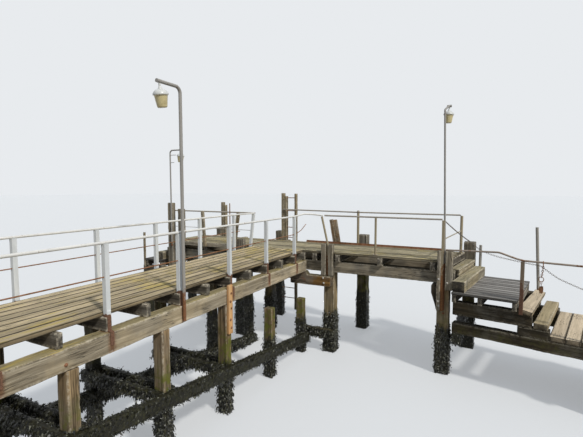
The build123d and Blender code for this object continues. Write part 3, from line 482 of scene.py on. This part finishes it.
CHEEK = timber_material(
    "cheeks", tint(184, 172, 150), tint(96, 88, 74), top=tint(136, 128, 108),
    stain=0.4, slime_top=1.9, fouling_top=0.6, grey=0.6, cracks=1.0, runs=0.45,
)
FOULED = timber_material("fouled_timber", tint(62, 58, 44), tint(28, 26, 20), slime_top=6.0, fouling_top=5.0)
CROSS_HEAD = timber_material(
    "cross_head", tint(176, 134, 76), tint(84, 62, 38), top=tint(110, 104, 78), stain=0.6, grey=0.7,
)
LANDING = timber_material(
    "landing_boards", tint(140, 138, 135), tint(70, 69, 68), top=tint(156, 153, 149),
    worn=0.04, seam=0.9, seam_from=0.55, spread=0.5, grey=0.2, relief=0.003, fine=1.4, furrow=0.55,
)
LANDING_BEAM = timber_material(
    "landing_beams", tint(84, 74, 56), tint(32, 28, 22), slime_top=1.6, fouling_top=0.8, worn=0.3,
    slime=0.3,
)
GANGWAY = timber_material(
    "gangway_boards", tint(206, 188, 160), tint(146, 128, 100), top=tint(226, 208, 180),
    worn=0.4, seam=0.8, spread=0.2, grey=0.15, furrow=0.62, relief=0.004,
)
BAULK = timber_material(
    "baulks", tint(186, 172, 140), tint(90, 82, 64), top=tint(178, 168, 138),
    lichen=0.5, worn=0.7, grey=0.5, butts=1.0,
)
LOW_STEP = timber_material(
    "low_steps", tint(184, 168, 134), tint(116, 102, 78), top=tint(196, 180, 144),
    worn=0.5, grey=0.2, butts=0.8, furrow=0.6,
)
REPAIR = timber_material(
    "repair_timber", tint(246, 200, 142), tint(206, 146, 90), stain=0.6, worn=0.2, cracks=0.5,
    slime_top=1.6, grey=0.15,
)
OLD_POST = timber_material(
    "old_posts", tint(190, 172, 136), tint(92, 78, 56), top=tint(150, 138, 110), stain=0.5, grey=0.5,
    runs=0.4,
)
TWIN = timber_material("twin_timbers", tint(178, 134, 82), tint(70, 56, 38), stain=0.8, grey=0.6)
POST_PAINT = painted_metal(
    "post_paint", tint(220, 224, 226), amount=0.22, foot=2.9, reach=0.16,
    rust=(tint(78, 56, 44), tint(138, 100, 78)),
)
RAIL_PAINT = painted_metal("rail_paint", tint(228, 227, 223), amount=0.5)
OLD_RAIL = painted_metal("old_rail", tint(170, 162, 150), amount=0.45)
GUARD_STEEL = painted_metal("guard_steel", tint(162, 148, 134), amount=0.64)
STANCHION = painted_metal(
    "stanchion_steel", tint(156, 144, 118), amount=0.46, foot=1.7, reach=1.8,
    rust=(tint(100, 68, 44), tint(156, 108, 68)),
)
BACK_POST = painted_metal("back_posts", tint(156, 152, 144), amount=0.25, foot=1.9, reach=0.5)
LANDING_POST = painted_metal(
    "landing_post_steel", tint(122, 106, 86), amount=0.5, foot=1.9, reach=1.1,
    rust=(tint(74, 54, 43), tint(122, 86, 66)),
)
RUSTED = painted_metal(
    "rusted_steel", tint(146, 104, 76), amount=0.8, rough=0.85,
    rust=(tint(88, 60, 36), tint(146, 102, 58)),
)
CHAIN_STEEL = painted_metal("chain_steel", tint(120, 112, 104), amount=0.6, rough=0.7)
BOLT_STEEL = painted_metal("bolt_heads", tint(190, 186, 178), amount=0.4, rough=0.5)
POLE_PAINT = painted_metal("pole_paint", tint(158, 155, 150), amount=0.52, foot=2.4, reach=0.8)
LANTERN = painted_metal("lantern_paint", tint(214, 216, 214), amount=0.12, rough=0.35)
WEED = weed_material()
BOWL = bowl_material()


# Timbers: each solid of a CAD node is read back, cut across its length at many stations,
# and built again with rounded, uneven arrises and rough faces
SAME_WAY = 0.999
SQUARE_TO = 0.05
CORNER_STEPS = 3
MOST_SIDE_POINTS = 7

# The rounded ends: their share of the length, where the cut inside them lies, how far in
# they go, and how near to an end a solid can still be cut
MOST_END_ROUND = 0.1
INNER_CUT = 0.35
END_PINCH = 0.7
NEAREST_CUT = 1e-4

# How much of an arris is worn away in general and where it is chipped
EVEN_WEAR = 0.8
CHIP_WEAR = 2.6
CHIP_FROM = 0.25
MOST_ROUND = 0.9

# Points on a face lie a little closer together than the stations
PITCH_SHARE = 0.7
SEED_REACH = 90


def node_triangles(node):
    """Each closed solid of a CAD node as an array of triangle corners."""
    mesh = bmesh.new()
    mesh.from_mesh(frame["nodes"][node].data)
    bmesh.ops.remove_doubles(mesh, verts=mesh.verts, dist=1e-5)
    bmesh.ops.triangulate(mesh, faces=mesh.faces)
    seen, solids = set(), []
    for start in mesh.faces:
        if start in seen:
            continue
        seen.add(start)
        stack, faces = [start], []
        while stack:
            face = stack.pop()
            faces.append(face)
            for edge in face.edges:
                for other in edge.link_faces:
                    if other not in seen:
                        seen.add(other)
                        stack.append(other)
        solids.append(np.array([[tuple(v.co) for v in f.verts] for f in faces]))
    mesh.free()
    return solids


def timber_axes(triangles):
    """The solid's own axes: along its length, then the wider and the narrower way across."""
    normals = np.cross(triangles[:, 1] - triangles[:, 0], triangles[:, 2] - triangles[:, 0])
    areas = np.linalg.norm(normals, axis=1)
    faces = []
    for normal, area in zip(normals / np.maximum(areas[:, None], 1e-12), areas):
        if normal[np.argmax(np.abs(normal))] < 0:
            normal = -normal
        for known in faces:
            if abs(known[0] @ normal) > SAME_WAY:
                known[1] += area
                break
        else:
            faces.append([normal, area])
    faces.sort(key=lambda f: -f[1])
    flat = faces[0][0]
    side = next(f[0] for f in faces[1:] if abs(f[0] @ flat) < SQUARE_TO)
    along = np.cross(flat, side)
    spans = [np.ptp(triangles.reshape(-1, 3) @ axis) for axis in (along, side, flat)]
    order = np.argsort(spans)[::-1]
    axes = [(along, side, flat)[i] for i in order]
    if np.linalg.det(np.array(axes)) < 0:
        axes[2] = -axes[2]
    return np.array(axes)


def slice_extent(triangles, station):
    """The extent across the length where a plane cuts the solid."""
    a = triangles
    b = np.roll(triangles, 1, axis=1)
    da, db = a[..., 0] - station, b[..., 0] - station
    cut = da * db < 0
    if not cut.any():
        return None
    share = (da[cut] / (da[cut] - db[cut]))[:, None]
    points = a[cut] + share * (b[cut] - a[cut])
    return points[:, 1].min(), points[:, 1].max(), points[:, 2].min(), points[:, 2].max()


def ring_pattern(width, depth, pitch):
    """Points round a rounded rectangle: which corner each belongs to, and how it is placed."""
    pattern = []
    corners = ((1, 1), (-1, 1), (-1, -1), (1, -1))
    for index, (cx, cy) in enumerate(corners):
        start = index * math.pi / 2
        for step in range(CORNER_STEPS + 1):
            angle = start + step / CORNER_STEPS * math.pi / 2
            pattern.append(("corner", cx, cy, math.cos(angle), math.sin(angle)))
        nx, ny = corners[(index + 1) % 4]
        side = width if cy == ny else depth
        count = max(1, min(MOST_SIDE_POINTS, round(side / pitch) - 1))
        for step in range(1, count + 1):
            t = step / (count + 1)
            pattern.append(("side", cx + (nx - cx) * t, cy + (ny - cy) * t, (cx + nx) / 2, (cy + ny) / 2))
    return pattern


def stations_along(low, high, end_round, step):
    """Places along a timber where it is cut, closer together at its rounded ends."""
    length = high - low
    count = max(2, int(length / step))
    stations = [low, low + end_round * INNER_CUT, low + end_round]
    stations += [low + length * i / count for i in range(1, count)]
    stations += [high - end_round, high - end_round * INNER_CUT, high]
    return sorted(stations)


def worn_radius(seed, u, px, py, arris):
    """The radius of an arris at one station, larger where it is worn or chipped."""
    wear = noise.noise(seed + Vector((u * 3.1, px * 5, py * 5)))
    chip = max(0.0, noise.noise(seed + Vector((u * 9.0, px * 9, py * 9))) - CHIP_FROM)
    return arris * (1 + EVEN_WEAR * wear + CHIP_WEAR * chip)


def worn_ring(axes, pattern, extent, u, pinch, seed, arris, rough, swell):
    """Points round one cut, with worn corners and rough sides, and the grain place of each."""
    v0, v1, w0, w1 = extent
    middle_v, middle_w = (v0 + v1) / 2, (w0 + w1) / 2
    half_v, half_w = (v1 - v0) / 2 - pinch, (w1 - w0) / 2 - pinch
    ring = []
    for kind, px, py, nx, ny in pattern:
        if kind == "corner":
            worn = worn_radius(seed, u, px, py, arris)
            radius = min(worn, half_v * MOST_ROUND, half_w * MOST_ROUND)
            v = px * (half_v - radius) + nx * radius
            w = py * (half_w - radius) + ny * radius
            edge = 1.0
        else:
            v, w, edge = px * half_v, py * half_w, 0.0
        place = Vector(axes.T @ np.array((u, middle_v + v, middle_w + w)))
        hollow = (noise.noise(seed + place * 6.5) + 0.5 * noise.noise(seed + place * 21)) * 0.5 + 0.5
        normal = Vector(axes.T @ np.array((0, nx, ny))).normalized()
        place -= normal * rough * max(0.0, hollow)
        if swell:
            place += normal * swell(place, seed)
        ring.append((place, (u, v, w), edge))
    return ring


def new_builder():
    return {"points": [], "faces": [], "grain": [], "arris": [], "tone": [], "butt": []}


def add_point(builder, place, grain, arris, tone, butt):
    builder["points"].append(place)
    builder["grain"].append(grain)
    builder["arris"].append(arris)
    builder["tone"].append(tone)
    builder["butt"].append(butt)


def join_rings(builder, a, b, count):
    """Faces between two rings of as many points, which start at a and at b."""
    for i in range(count):
        j = (i + 1) % count
        builder["faces"].append((a + i, a + j, b + j, b + i))


def timber_mesh(builder, triangles, rng, step, arris, rough, swell=None):
    """Adds one worn timber to the lists in builder."""
    axes = timber_axes(triangles)
    local = triangles @ axes.T
    low, high = local.reshape(-1, 3).min(0), local.reshape(-1, 3).max(0)
    seed = Vector([rng.uniform(-SEED_REACH, SEED_REACH) for _ in range(3)])
    tone = rng.random()
    end_round = min(arris, (high[0] - low[0]) * MOST_END_ROUND)
    stations = stations_along(low[0], high[0], end_round, step)
    pattern = ring_pattern(high[1] - low[1], high[2] - low[2], step * PITCH_SHARE)
    rings = []
    for u in stations:
        extent = slice_extent(local, min(max(u, low[0] + NEAREST_CUT), high[0] - NEAREST_CUT))
        if extent is None:
            continue
        from_end = min(u - low[0], high[0] - u)
        turned = 1 - min(1, from_end / end_round)
        pinch = end_round * END_PINCH * (1 - math.sqrt(max(0.0, 1 - turned ** 2)))
        rings.append(worn_ring(axes, pattern, extent, u, pinch, seed, arris, rough, swell))
    base, count = len(builder["points"]), len(pattern)
    last = len(rings) - 1
    for index, ring in enumerate(rings):
        at_end = index in (0, last)
        for place, (u, v, w), edge in ring:
            grain = (u + seed.x, v + seed.y, w + seed.z)
            add_point(builder, place, grain, 1.0 if at_end else edge, tone, 1.0 if at_end else 0.0)
    for index in range(last):
        join_rings(builder, base + index * count, base + (index + 1) * count, count)
    for index, u in ((0, stations[0]), (last, stations[-1])):
        hub = len(builder["points"])
        centre = sum((place for place, _, _ in rings[index]), Vector()) / count
        add_point(builder, centre, (u + seed.x, seed.y, seed.z), 0.0, tone, 1.0)
        for i in range(count):
            a, b = base + index * count + i, base + index * count + (i + 1) % count
            builder["faces"].append((hub, a, b) if index else (hub, b, a))


def mesh_object(name, builder, material, smooth=True):
    mesh = bpy.data.meshes.new(name)
    mesh.from_pydata([tuple(p) for p in builder["points"]], [], builder["faces"])
    mesh.update()
    for key in ("arris", "tone", "butt"):
        if builder.get(key):
            mesh.attributes.new(key, "FLOAT", "POINT").data.foreach_set("value", builder[key])
    if builder.get("grain"):
        flat = np.array(builder["grain"], np.float32).reshape(-1)
        mesh.attributes.new("grain", "FLOAT_VECTOR", "POINT").data.foreach_set("vector", flat)
    mesh.materials.append(material)
    if smooth:
        mesh.polygons.foreach_set("use_smooth", [True] * len(mesh.polygons))
    piece = bpy.data.objects.new(name, mesh)
    scene.collection.objects.link(piece)
    return piece


def outward(piece):
    """Turns every face outward."""
    mesh = bmesh.new()
    mesh.from_mesh(piece.data)
    bmesh.ops.recalc_face_normals(mesh, faces=mesh.faces)
    mesh.to_mesh(piece.data)
    mesh.free()


def fit(piece, slot, *nodes):
    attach(piece, "root")
    if nodes:
        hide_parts(*nodes)


def node_slot(node):
    return next(p["material_slot"] for p in frame["record"]["subparts"] if p["node"] == node)


def worn_timbers(node, material, step, arris, rough, swell=None):
    """Stands worn timbers in for all the solids of a CAD node."""
    rng = random.Random(node)
    builder = new_builder()
    for triangles in node_triangles(node):
        timber_mesh(builder, triangles, rng, step, arris, rough, swell)
    piece = mesh_object("worn_" + node, builder, material)
    outward(piece)
    fit(piece, node_slot(node), node)


RAGGED_TOP = 0.28
FULL_DEPTH = 0.25


def fouling_swell(top, thick):
    """Outward growth of crusted fouling below a height, ragged at its upper edge."""
    def swell(place, seed):
        ragged = top + RAGGED_TOP * noise.noise(seed + place * 2.2)
        depth = min(1.0, max(0.0, (ragged - place.z) / FULL_DEPTH))
        lumps = 0.5 + 0.5 * noise.noise(seed + place * 11) + 0.35 * noise.noise(seed + place * 27)
        return thick * depth * max(0.0, lumps)
    return swell


# Finish, distance between stations, radius of the arrises and depth of the rough faces
TIMBERS = {
    "walkway_deck_boards": (DECK, 0.10, 0.008, 0.004),
    "head_deck_boards": (HEAD_DECK, 0.10, 0.008, 0.007),
    "walkway_near_stringer": (STRINGER, 0.08, 0.016, 0.008),
    "walkway_far_stringer": (STRINGER, 0.10, 0.016, 0.008),
    "walkway_bearers": (BEARER, 0.07, 0.010, 0.006),
    "head_bearers": (BEARER, 0.08, 0.010, 0.006),
    "head_front_beam": (BEAM, 0.08, 0.018, 0.008),
    "head_back_beam": (BEAM, 0.10, 0.018, 0.008),
    "cheek_timbers": (CHEEK, 0.06, 0.014, 0.008),
    "corner_cross_head": (CROSS_HEAD, 0.06, 0.014, 0.007),
    "repair_timber": (REPAIR, 0.05, 0.008, 0.004),
    "right_landing_boards": (LANDING, 0.08, 0.008, 0.002),
    "left_landing_boards": (LANDING, 0.09, 0.008, 0.002),
    "right_landing_bearers": (BEARER, 0.08, 0.010, 0.006),
    "left_landing_bearers": (BEARER, 0.09, 0.010, 0.006),
    "right_landing_beams": (LANDING_BEAM, 0.08, 0.016, 0.008),
    "left_landing_beams": (LANDING_BEAM, 0.09, 0.016, 0.008),
    "gangway_boards": (GANGWAY, 0.08, 0.008, 0.003),
    "step_baulks": (BAULK, 0.07, 0.014, 0.008),
    "step_treads": (BAULK, 0.07, 0.012, 0.008),
    "right_low_steps": (LOW_STEP, 0.07, 0.016, 0.006),
    "right_sloping_plank": (GANGWAY, 0.07, 0.010, 0.005),
    "ladder_stile": (OLD_POST, 0.08, 0.010, 0.005),
    "leaning_timbers": (TWIN, 0.08, 0.010, 0.005),
    "left_arm_posts": (OLD_POST, 0.07, 0.010, 0.004),
    "left_landing_post": (OLD_POST, 0.07, 0.008, 0.004),
    "left_kerb_board": (BEAM, 0.08, 0.008, 0.005),
    "tall_timbers": (OLD_POST, 0.09, 0.010, 0.006),
}
for node, (material, step, arris, rough) in TIMBERS.items():
    worn_timbers(node, material, step, arris, rough)

# Finish, distance between stations, top of the fouling and how thick it grows
ALL_OVER = 9.0
FOULED_ARRIS = 0.016
FOULED_ROUGH = 0.008
FOULED_TIMBERS = {
    "walkway_near_piles": (PILE, 0.055, 1.15, 0.02),
    "walkway_far_piles": (STUMP, 0.06, 1.5, 0.025),
    "head_front_piles": (HEAD_PILE, 0.055, 1.35, 0.03),
    "head_back_piles": (BACK_PILE, 0.06, 1.35, 0.03),
    "gangway_piles": (STUMP, 0.07, 1.2, 0.03),
    "left_landing_piles": (STUMP, 0.07, 1.2, 0.03),
    "walkway_low_walings": (FOULED, 0.05, ALL_OVER, 0.022),
    "walkway_cross_timbers": (FOULED, 0.05, ALL_OVER, 0.022),
    "gangway_caps": (FOULED, 0.07, ALL_OVER, 0.02),
    "gangway_beams": (LANDING_BEAM, 0.08, 1.2, 0.02),
    "landing_support_blocks": (LANDING_BEAM, 0.06, 1.4, 0.012),
    "head_low_timbers": (LANDING_BEAM, 0.05, 1.3, 0.03),
}
for node, (material, step, top, thick) in FOULED_TIMBERS.items():
    worn_timbers(node, material, step, FOULED_ARRIS, FOULED_ROUGH, fouling_swell(top, thick))


# Strap weed hangs from the fouled timbers, thinner in a band below its top
STRAND_TAPER = (1.0, 1.25, 0.9, 0.35)
NARROWEST, WIDEST = 0.007, 0.017
SCATTER, SCATTER_UP = 0.04, 0.03
STRAY = 0.45
DROOP = 0.75
THIN_BAND = 0.35
THINNED = 0.9
FLOOR_GAP = 0.004


def strand(builder, rng, start, out, longest):
    """One ribbon that leaves a face, droops and tapers."""
    tone = rng.random()
    length = longest * (0.3 + 0.7 * rng.random() ** 3)
    width = rng.uniform(NARROWEST, WIDEST)
    across = out.cross(UP)
    if across.length < 0.2:
        angle = rng.uniform(0, math.tau)
        across = Vector((math.cos(angle), math.sin(angle), 0))
    across = (across.normalized() + 0.5 * Vector((rng.gauss(0, 1), rng.gauss(0, 1), 0))).normalized()
    stray = Vector((rng.gauss(0, STRAY), rng.gauss(0, STRAY), rng.uniform(-0.6, 0.25)))
    heading = (out * 0.9 + stray).normalized()
    point = start
    base = len(builder["points"])
    for taper in STRAND_TAPER:
        for side in (-1, 1):
            edge = point + across * side * width * taper
            edge.z = max(edge.z, FLOOR_GAP)
            builder["points"].append(edge)
            builder["tone"].append(tone)
        heading = (heading - UP * DROOP).normalized()
        point = point + heading * length / 3
    for a in range(base, base + 2 * (len(STRAND_TAPER) - 1), 2):
        builder["faces"].append((a, a + 1, a + 3, a + 2))


def weed_tufts(name, node, top, per_square_metre, longest, seed):
    """Strands all over a fouled timber, thinning out towards the top of the weed."""
    rng = random.Random(seed)
    source = bpy.data.objects["worn_" + node].data
    faces = [p for p in source.polygons if p.center.z < top]
    areas = np.cumsum([p.area for p in faces])
    builder = {"points": [], "faces": [], "tone": []}
    for _ in range(int(areas[-1] * per_square_metre)):
        face = faces[int(np.searchsorted(areas, rng.random() * areas[-1]))]
        start, out = face.center.copy(), face.normal.copy()
        if rng.random() < max(0.0, (start.z - top + THIN_BAND) / THIN_BAND) * THINNED:
            continue
        spread = Vector((rng.gauss(0, SCATTER), rng.gauss(0, SCATTER), rng.gauss(0, SCATTER_UP)))
        start += spread - out * spread.dot(out)
        strand(builder, rng, start, out, longest)
    fit(mesh_object(name, builder, WEED), "weed_timber")


# Weed, its timber, its top, strands on a square metre and the longest strand
WEEDY = (
    ("near_pile_weed", "walkway_near_piles", 1.15, 1500, 0.09),
    ("far_pile_weed", "walkway_far_piles", 1.45, 900, 0.08),
    ("head_pile_weed", "head_front_piles", 1.3, 1300, 0.09),
    ("back_pile_weed", "head_back_piles", 1.3, 500, 0.08),
    ("waling_weed", "walkway_low_walings", ALL_OVER, 1600, 0.10),
    ("cross_timber_weed", "walkway_cross_timbers", ALL_OVER, 1000, 0.10),
    ("cap_weed", "gangway_caps", ALL_OVER, 500, 0.09),
    ("low_timber_weed", "head_low_timbers", 1.2, 900, 0.09),
)
for seed, (name, node, top, per_square_metre, longest) in enumerate(WEEDY, start=100):
    weed_tufts(name, node, top, per_square_metre, longest, seed)


# Small ironwork: bolt heads on washers, chains, and the hanger on the guard bar. The right
# arm starts at its corner and bends a little towards the walkway's side
ARM_CORNER = Vector((3.410, -0.100, 0))
ARM_TURN = math.radians(8.5)


def on_arm(x, y, z):
    """A place given along and across the turned right arm."""
    cos, sin = math.cos(ARM_TURN), math.sin(ARM_TURN)
    return ARM_CORNER + Vector((x * cos + y * sin, y * cos - x * sin, z))


# Radius and height at the turns of a washer and the domed head on it
BOLT_PROFILE = (
    (0.030, -0.004), (0.030, 0.003), (0.027, 0.006), (0.017, 0.006),
    (0.017, 0.013), (0.014, 0.019), (0.008, 0.023), (0.0005, 0.024),
)
BOLT_SIDES = 12
SMALLEST_BOLT, LARGEST_BOLT = 0.9, 1.1
BAR_SIDES = 6
LINK_STEPS = 12
LINK_LENGTH = 0.058
LINK_WIDTH = 0.036
LINK_BAR = 0.0045

# Places of the bolts along their face, and heights
CHEEK_BOLTS = ((3.055, 2.52), (3.26, 2.44), (3.05, 1.95), (3.07, 1.83))
CROSS_HEAD_BOLTS = ((-0.09, 2.25), (-0.07, 2.10))
PILE_BOLTS = ((3.17, 1.61),)
REPAIR_BOLTS = ((-4.12, 2.62), (-4.15, 2.45), (-4.12, 2.30), (-4.15, 2.06), (-4.12, 1.88))
STRINGER_BOLTS = ((-7.77, 2.49),)

# The first chain drops from the rail post over the right stub to the short back post
RAIL_POST_TOP = Vector((3.165, -0.15, 4.00))
STUB_EDGE = Vector((3.62, 2.03, 3.25))
DROP_STEPS = 8
DROP_SAG = 0.10
SHORT_POST_HOOK = (0.17, 3.03)

# The second goes on to the tall back post and down to the far edge of the gangway
BACK_POST_LINE = 2.125
SECOND_CHAIN = (
    (0.19, 3.02), (0.45, 2.925), (0.73, 2.86), (1.055, 2.81), (1.46, 2.757), (1.69, 2.735),
    (1.80, 2.66), (1.95, 2.55), (2.13, 2.43), (2.40, 2.32), (2.66, 2.22), (3.20, 2.02),
    (3.75, 1.80), (4.15, 1.62),
)

# The hanger under the guard bar: its place on the arm, its two rings, and how far aside
# and how high its links and plate hang
HANGER_ALONG = 1.93
HANGER_ACROSS = -0.2375
UPPER_RING_HEIGHT = 3.165
UPPER_RING_SIZE = (0.13, 0.085)
UPPER_LINKS = ((0, 3.11), (0.01, 2.96), (0.03, 2.86))
LOWER_RING_HEIGHT = 2.82
LOWER_RING_SIZE = (0.11, 0.10)
LOWER_RING_ASIDE = 0.03
LOWER_LINKS = ((0.03, 2.77), (0.02, 2.66))
RING_BAR = 0.008
HANGER_LINK_BAR = 0.006
PLATE_ASIDE = 0.02
PLATE_OUTLINE = (
    (-0.035, 2.66), (0.035, 2.67), (0.042, 2.60), (0.036, 2.53),
    (0.012, 2.50), (-0.03, 2.52), (-0.044, 2.60),
)
PLATE_HALF = 0.005


def bolt_head(builder, place, axis, rng):
    """A domed head on a washer, a little larger or smaller than the next."""
    across = axis.orthogonal().normalized()
    other = axis.cross(across)
    size = rng.uniform(SMALLEST_BOLT, LARGEST_BOLT)
    base = len(builder["points"])
    for radius, height in BOLT_PROFILE:
        for i in range(BOLT_SIDES):
            angle = math.tau * i / BOLT_SIDES
            spoke = across * math.cos(angle) + other * math.sin(angle)
            builder["points"].append(place + axis * height + spoke * radius * size)
    for r in range(len(BOLT_PROFILE) - 1):
        join_rings(builder, base + r * BOLT_SIDES, base + (r + 1) * BOLT_SIDES, BOLT_SIDES)


def bent_loop(builder, path, flat, radius):
    """A round bar bent into a closed loop that lies square to one direction."""
    base, count = len(builder["points"]), len(path)
    for i, place in enumerate(path):
        out = (path[(i + 1) % count] - path[i - 1]).normalized().cross(flat)
        for side in range(BAR_SIDES):
            angle = math.tau * side / BAR_SIDES
            builder["points"].append(place + (out * math.cos(angle) + flat * math.sin(angle)) * radius)
    for i in range(count):
        join_rings(builder, base + i * BAR_SIDES, base + (i + 1) % count * BAR_SIDES, BAR_SIDES)


def oval(centre, along, across, length, width):
    turns = (math.tau * i / LINK_STEPS for i in range(LINK_STEPS))
    return [centre + along * math.cos(t) * length / 2 + across * math.sin(t) * width / 2 for t in turns]


def chain(builder, line, bar=LINK_BAR):
    """Links along a line of places, each turned a quarter against the one before."""
    spans = [(b - a).length for a, b in zip(line, line[1:])]
    reach = np.concatenate(([0.0], np.cumsum(spans)))
    count = int(reach[-1] / (LINK_LENGTH - 3 * bar))

    def at(share):
        return Vector([float(np.interp(share * reach[-1], reach, [p[i] for p in line])) for i in range(3)])

    for link in range(count):
        start, end = at(link / count), at((link + 1) / count)
        along = (end - start).normalized()
        side = along.cross(UP if abs(along.z) < 0.95 else Vector((1, 0, 0))).normalized()
        across = side if link % 2 else side.cross(along)
        path = oval((start + end) / 2, along, across, LINK_LENGTH, LINK_WIDTH)
        bent_loop(builder, path, along.cross(across), bar)


def bolts_on_front(builder, node, places, rng):
    """Bolts on the face of a node that looks back along the walkway."""
    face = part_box(node)[0][1]
    for x, z in places:
        bolt_head(builder, Vector((x, face, z)), Vector((0, -1, 0)), rng)


def bolts_on_side(builder, node, places, rng):
    """Bolts on the face of a node that looks along the head to the right."""
    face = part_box(node)[1][0]
    for y, z in places:
        bolt_head(builder, Vector((face, y, z)), Vector((1, 0, 0)), rng)


def make_bolts():
    rng = random.Random(7)
    pale, rusty = new_builder(), new_builder()
    bolts_on_front(pale, "cheek_timbers", CHEEK_BOLTS, rng)
    bolts_on_front(pale, "corner_cross_head", CROSS_HEAD_BOLTS, rng)
    bolts_on_side(rusty, "repair_timber", REPAIR_BOLTS, rng)
    bolts_on_side(rusty, "walkway_near_stringer", STRINGER_BOLTS, rng)
    bolts_on_front(rusty, "head_front_piles", PILE_BOLTS, rng)
    for name, builder, material in (("pale_bolts", pale, BOLT_STEEL), ("rusty_bolts", rusty, RUSTED)):
        piece = mesh_object(name, builder, material)
        outward(piece)
        fit(piece, "rusty_steel")


def make_chains():
    builder = new_builder()
    shares = [t / DROP_STEPS for t in range(DROP_STEPS + 1)]
    drop = [RAIL_POST_TOP.lerp(STUB_EDGE, t) - UP * DROP_SAG * t * (1 - t) for t in shares]
    along, height = SHORT_POST_HOOK
    chain(builder, drop + [on_arm(along, BACK_POST_LINE, height)])
    chain(builder, [on_arm(x, BACK_POST_LINE, z) for x, z in SECOND_CHAIN])
    fit(mesh_object("landing_chains", builder, CHAIN_STEEL), "rusty_steel")


def hanger_plate(builder, centre):
    base, count = len(builder["points"]), len(PLATE_OUTLINE)
    for offset in (-PLATE_HALF, PLATE_HALF):
        for dx, z in PLATE_OUTLINE:
            builder["points"].append(on_arm(centre + dx, HANGER_ACROSS + offset, z))
    builder["faces"].append(tuple(base + i for i in range(count)))
    builder["faces"].append(tuple(base + count + i for i in reversed(range(count))))
    join_rings(builder, base, base + count, count)


def make_hanger():
    """A ring over the guard bar, links, a wider ring and a rusted plate below it."""
    builder = new_builder()
    along, across = on_arm(1, 0, 0) - ARM_CORNER, on_arm(0, 1, 0) - ARM_CORNER

    def hung(aside, height):
        return on_arm(HANGER_ALONG - aside, HANGER_ACROSS, height)

    upper_ring = oval(hung(0, UPPER_RING_HEIGHT), UP, across, *UPPER_RING_SIZE)
    lower_ring = oval(hung(LOWER_RING_ASIDE, LOWER_RING_HEIGHT), UP, along, *LOWER_RING_SIZE)
    bent_loop(builder, upper_ring, along, RING_BAR)
    chain(builder, [hung(*place) for place in UPPER_LINKS], HANGER_LINK_BAR)
    bent_loop(builder, lower_ring, across, RING_BAR)
    chain(builder, [hung(*place) for place in LOWER_LINKS], HANGER_LINK_BAR)
    hanger_plate(builder, HANGER_ALONG - PLATE_ASIDE)
    piece = mesh_object("bar_hanger", builder, RUSTED, False)
    outward(piece)
    fit(piece, "rusty_steel")


make_bolts()
make_chains()
make_hanger()


# Metal pieces keep their CAD shape and get their finish
METAL_FINISHES = (
    (RAIL_PAINT, ("walkway_near_top_rail", "walkway_far_top_rail")),
    (OLD_RAIL, ("head_near_rail", "head_far_rail", "left_arm_rails")),
    (GUARD_STEEL, ("guard_bar",)),
    (STANCHION, ("head_stanchions",)),
    (POST_PAINT, ("walkway_near_posts", "walkway_far_posts", "leaning_far_post")),
    (BACK_POST, ("landing_back_posts",)),
    (LANDING_POST, ("landing_posts",)),
    (RUSTED, ("walkway_near_mid_rail", "walkway_far_mid_rail", "back_kerb_angle")),
    (RUSTED, ("ladder_rungs", "left_arm_pole")),
    (POLE_PAINT, ("lamp_poles",)),
    (LANTERN, ("lantern_caps",)),
    (BOWL, ("lantern_bowls",)),
)
for material, nodes in METAL_FINISHES:
    for node in nodes:
        slots = frame["nodes"][node].data.materials
        slots.clear()
        slots.append(material)


# Floor, light and background
FLOOR_LEVEL = -0.004
FLOOR_REACH = 260
FLOOR_GLOW = 0.42
WORLD_LIGHT = 0.54
WORLD_SEEN = 1.0
SUN_HEADING = Vector((-1.0, 0.42, -1.05))
SUN_STRENGTH = 2.55
SUN_COLOUR = (1.0, 0.965, 0.9)
SUN_WIDTH = 5


def seen_directly(g):
    """1 for what is seen itself, in a mirror or through glass, and 0 for what only lights."""
    path = g.add("ShaderNodeLightPath").outputs
    mirrored = g.math("MAXIMUM", path["Is Glossy Ray"], path["Is Transmission Ray"])
    return g.math("MAXIMUM", path["Is Camera Ray"], mirrored)


def make_floor():
    """A wide pale floor that keeps a soft shadow and throws little light back."""
    material, g, shader = material_with_shader("studio_floor")
    seen = seen_directly(g)
    g.put(g.mix(seen, tint(120, 112, 96), tint(178, 180, 182)), shader.inputs["Base Color"])
    shader.inputs["Roughness"].default_value = 0.9
    shader.inputs["Emission Color"].default_value = tint(226, 229, 232)
    g.put(g.math("MULTIPLY", seen, FLOOR_GLOW), shader.inputs["Emission Strength"])
    mesh = bpy.data.meshes.new("studio_floor")
    turns = ((-1, -1), (1, -1), (1, 1), (-1, 1))
    mesh.from_pydata([(x * FLOOR_REACH, y * FLOOR_REACH, FLOOR_LEVEL) for x, y in turns], [], [(0, 1, 2, 3)])
    mesh.materials.append(material)
    floor = bpy.data.objects.new("studio_floor", mesh)
    scene.collection.objects.link(floor)


def make_world():
    world = bpy.data.worlds.new("studio")
    scene.world = world
    world.use_nodes = True
    g = Graph(world.node_tree)
    background = world.node_tree.nodes["Background"]
    seen = seen_directly(g)
    g.put(g.mix(seen, tint(214, 224, 236), tint(232, 235, 238)), background.inputs["Color"])
    g.put(g.between(seen, 0.0, 1.0, WORLD_LIGHT, WORLD_SEEN), background.inputs["Strength"])


def make_sun():
    sun = bpy.data.lights.new("sun", "SUN")
    sun.energy = SUN_STRENGTH
    sun.color = SUN_COLOUR
    sun.angle = math.radians(SUN_WIDTH)
    lamp = bpy.data.objects.new("sun", sun)
    lamp.rotation_euler = SUN_HEADING.to_track_quat("-Z", "Y").to_euler()
    scene.collection.objects.link(lamp)


make_floor()
make_world()
make_sun()
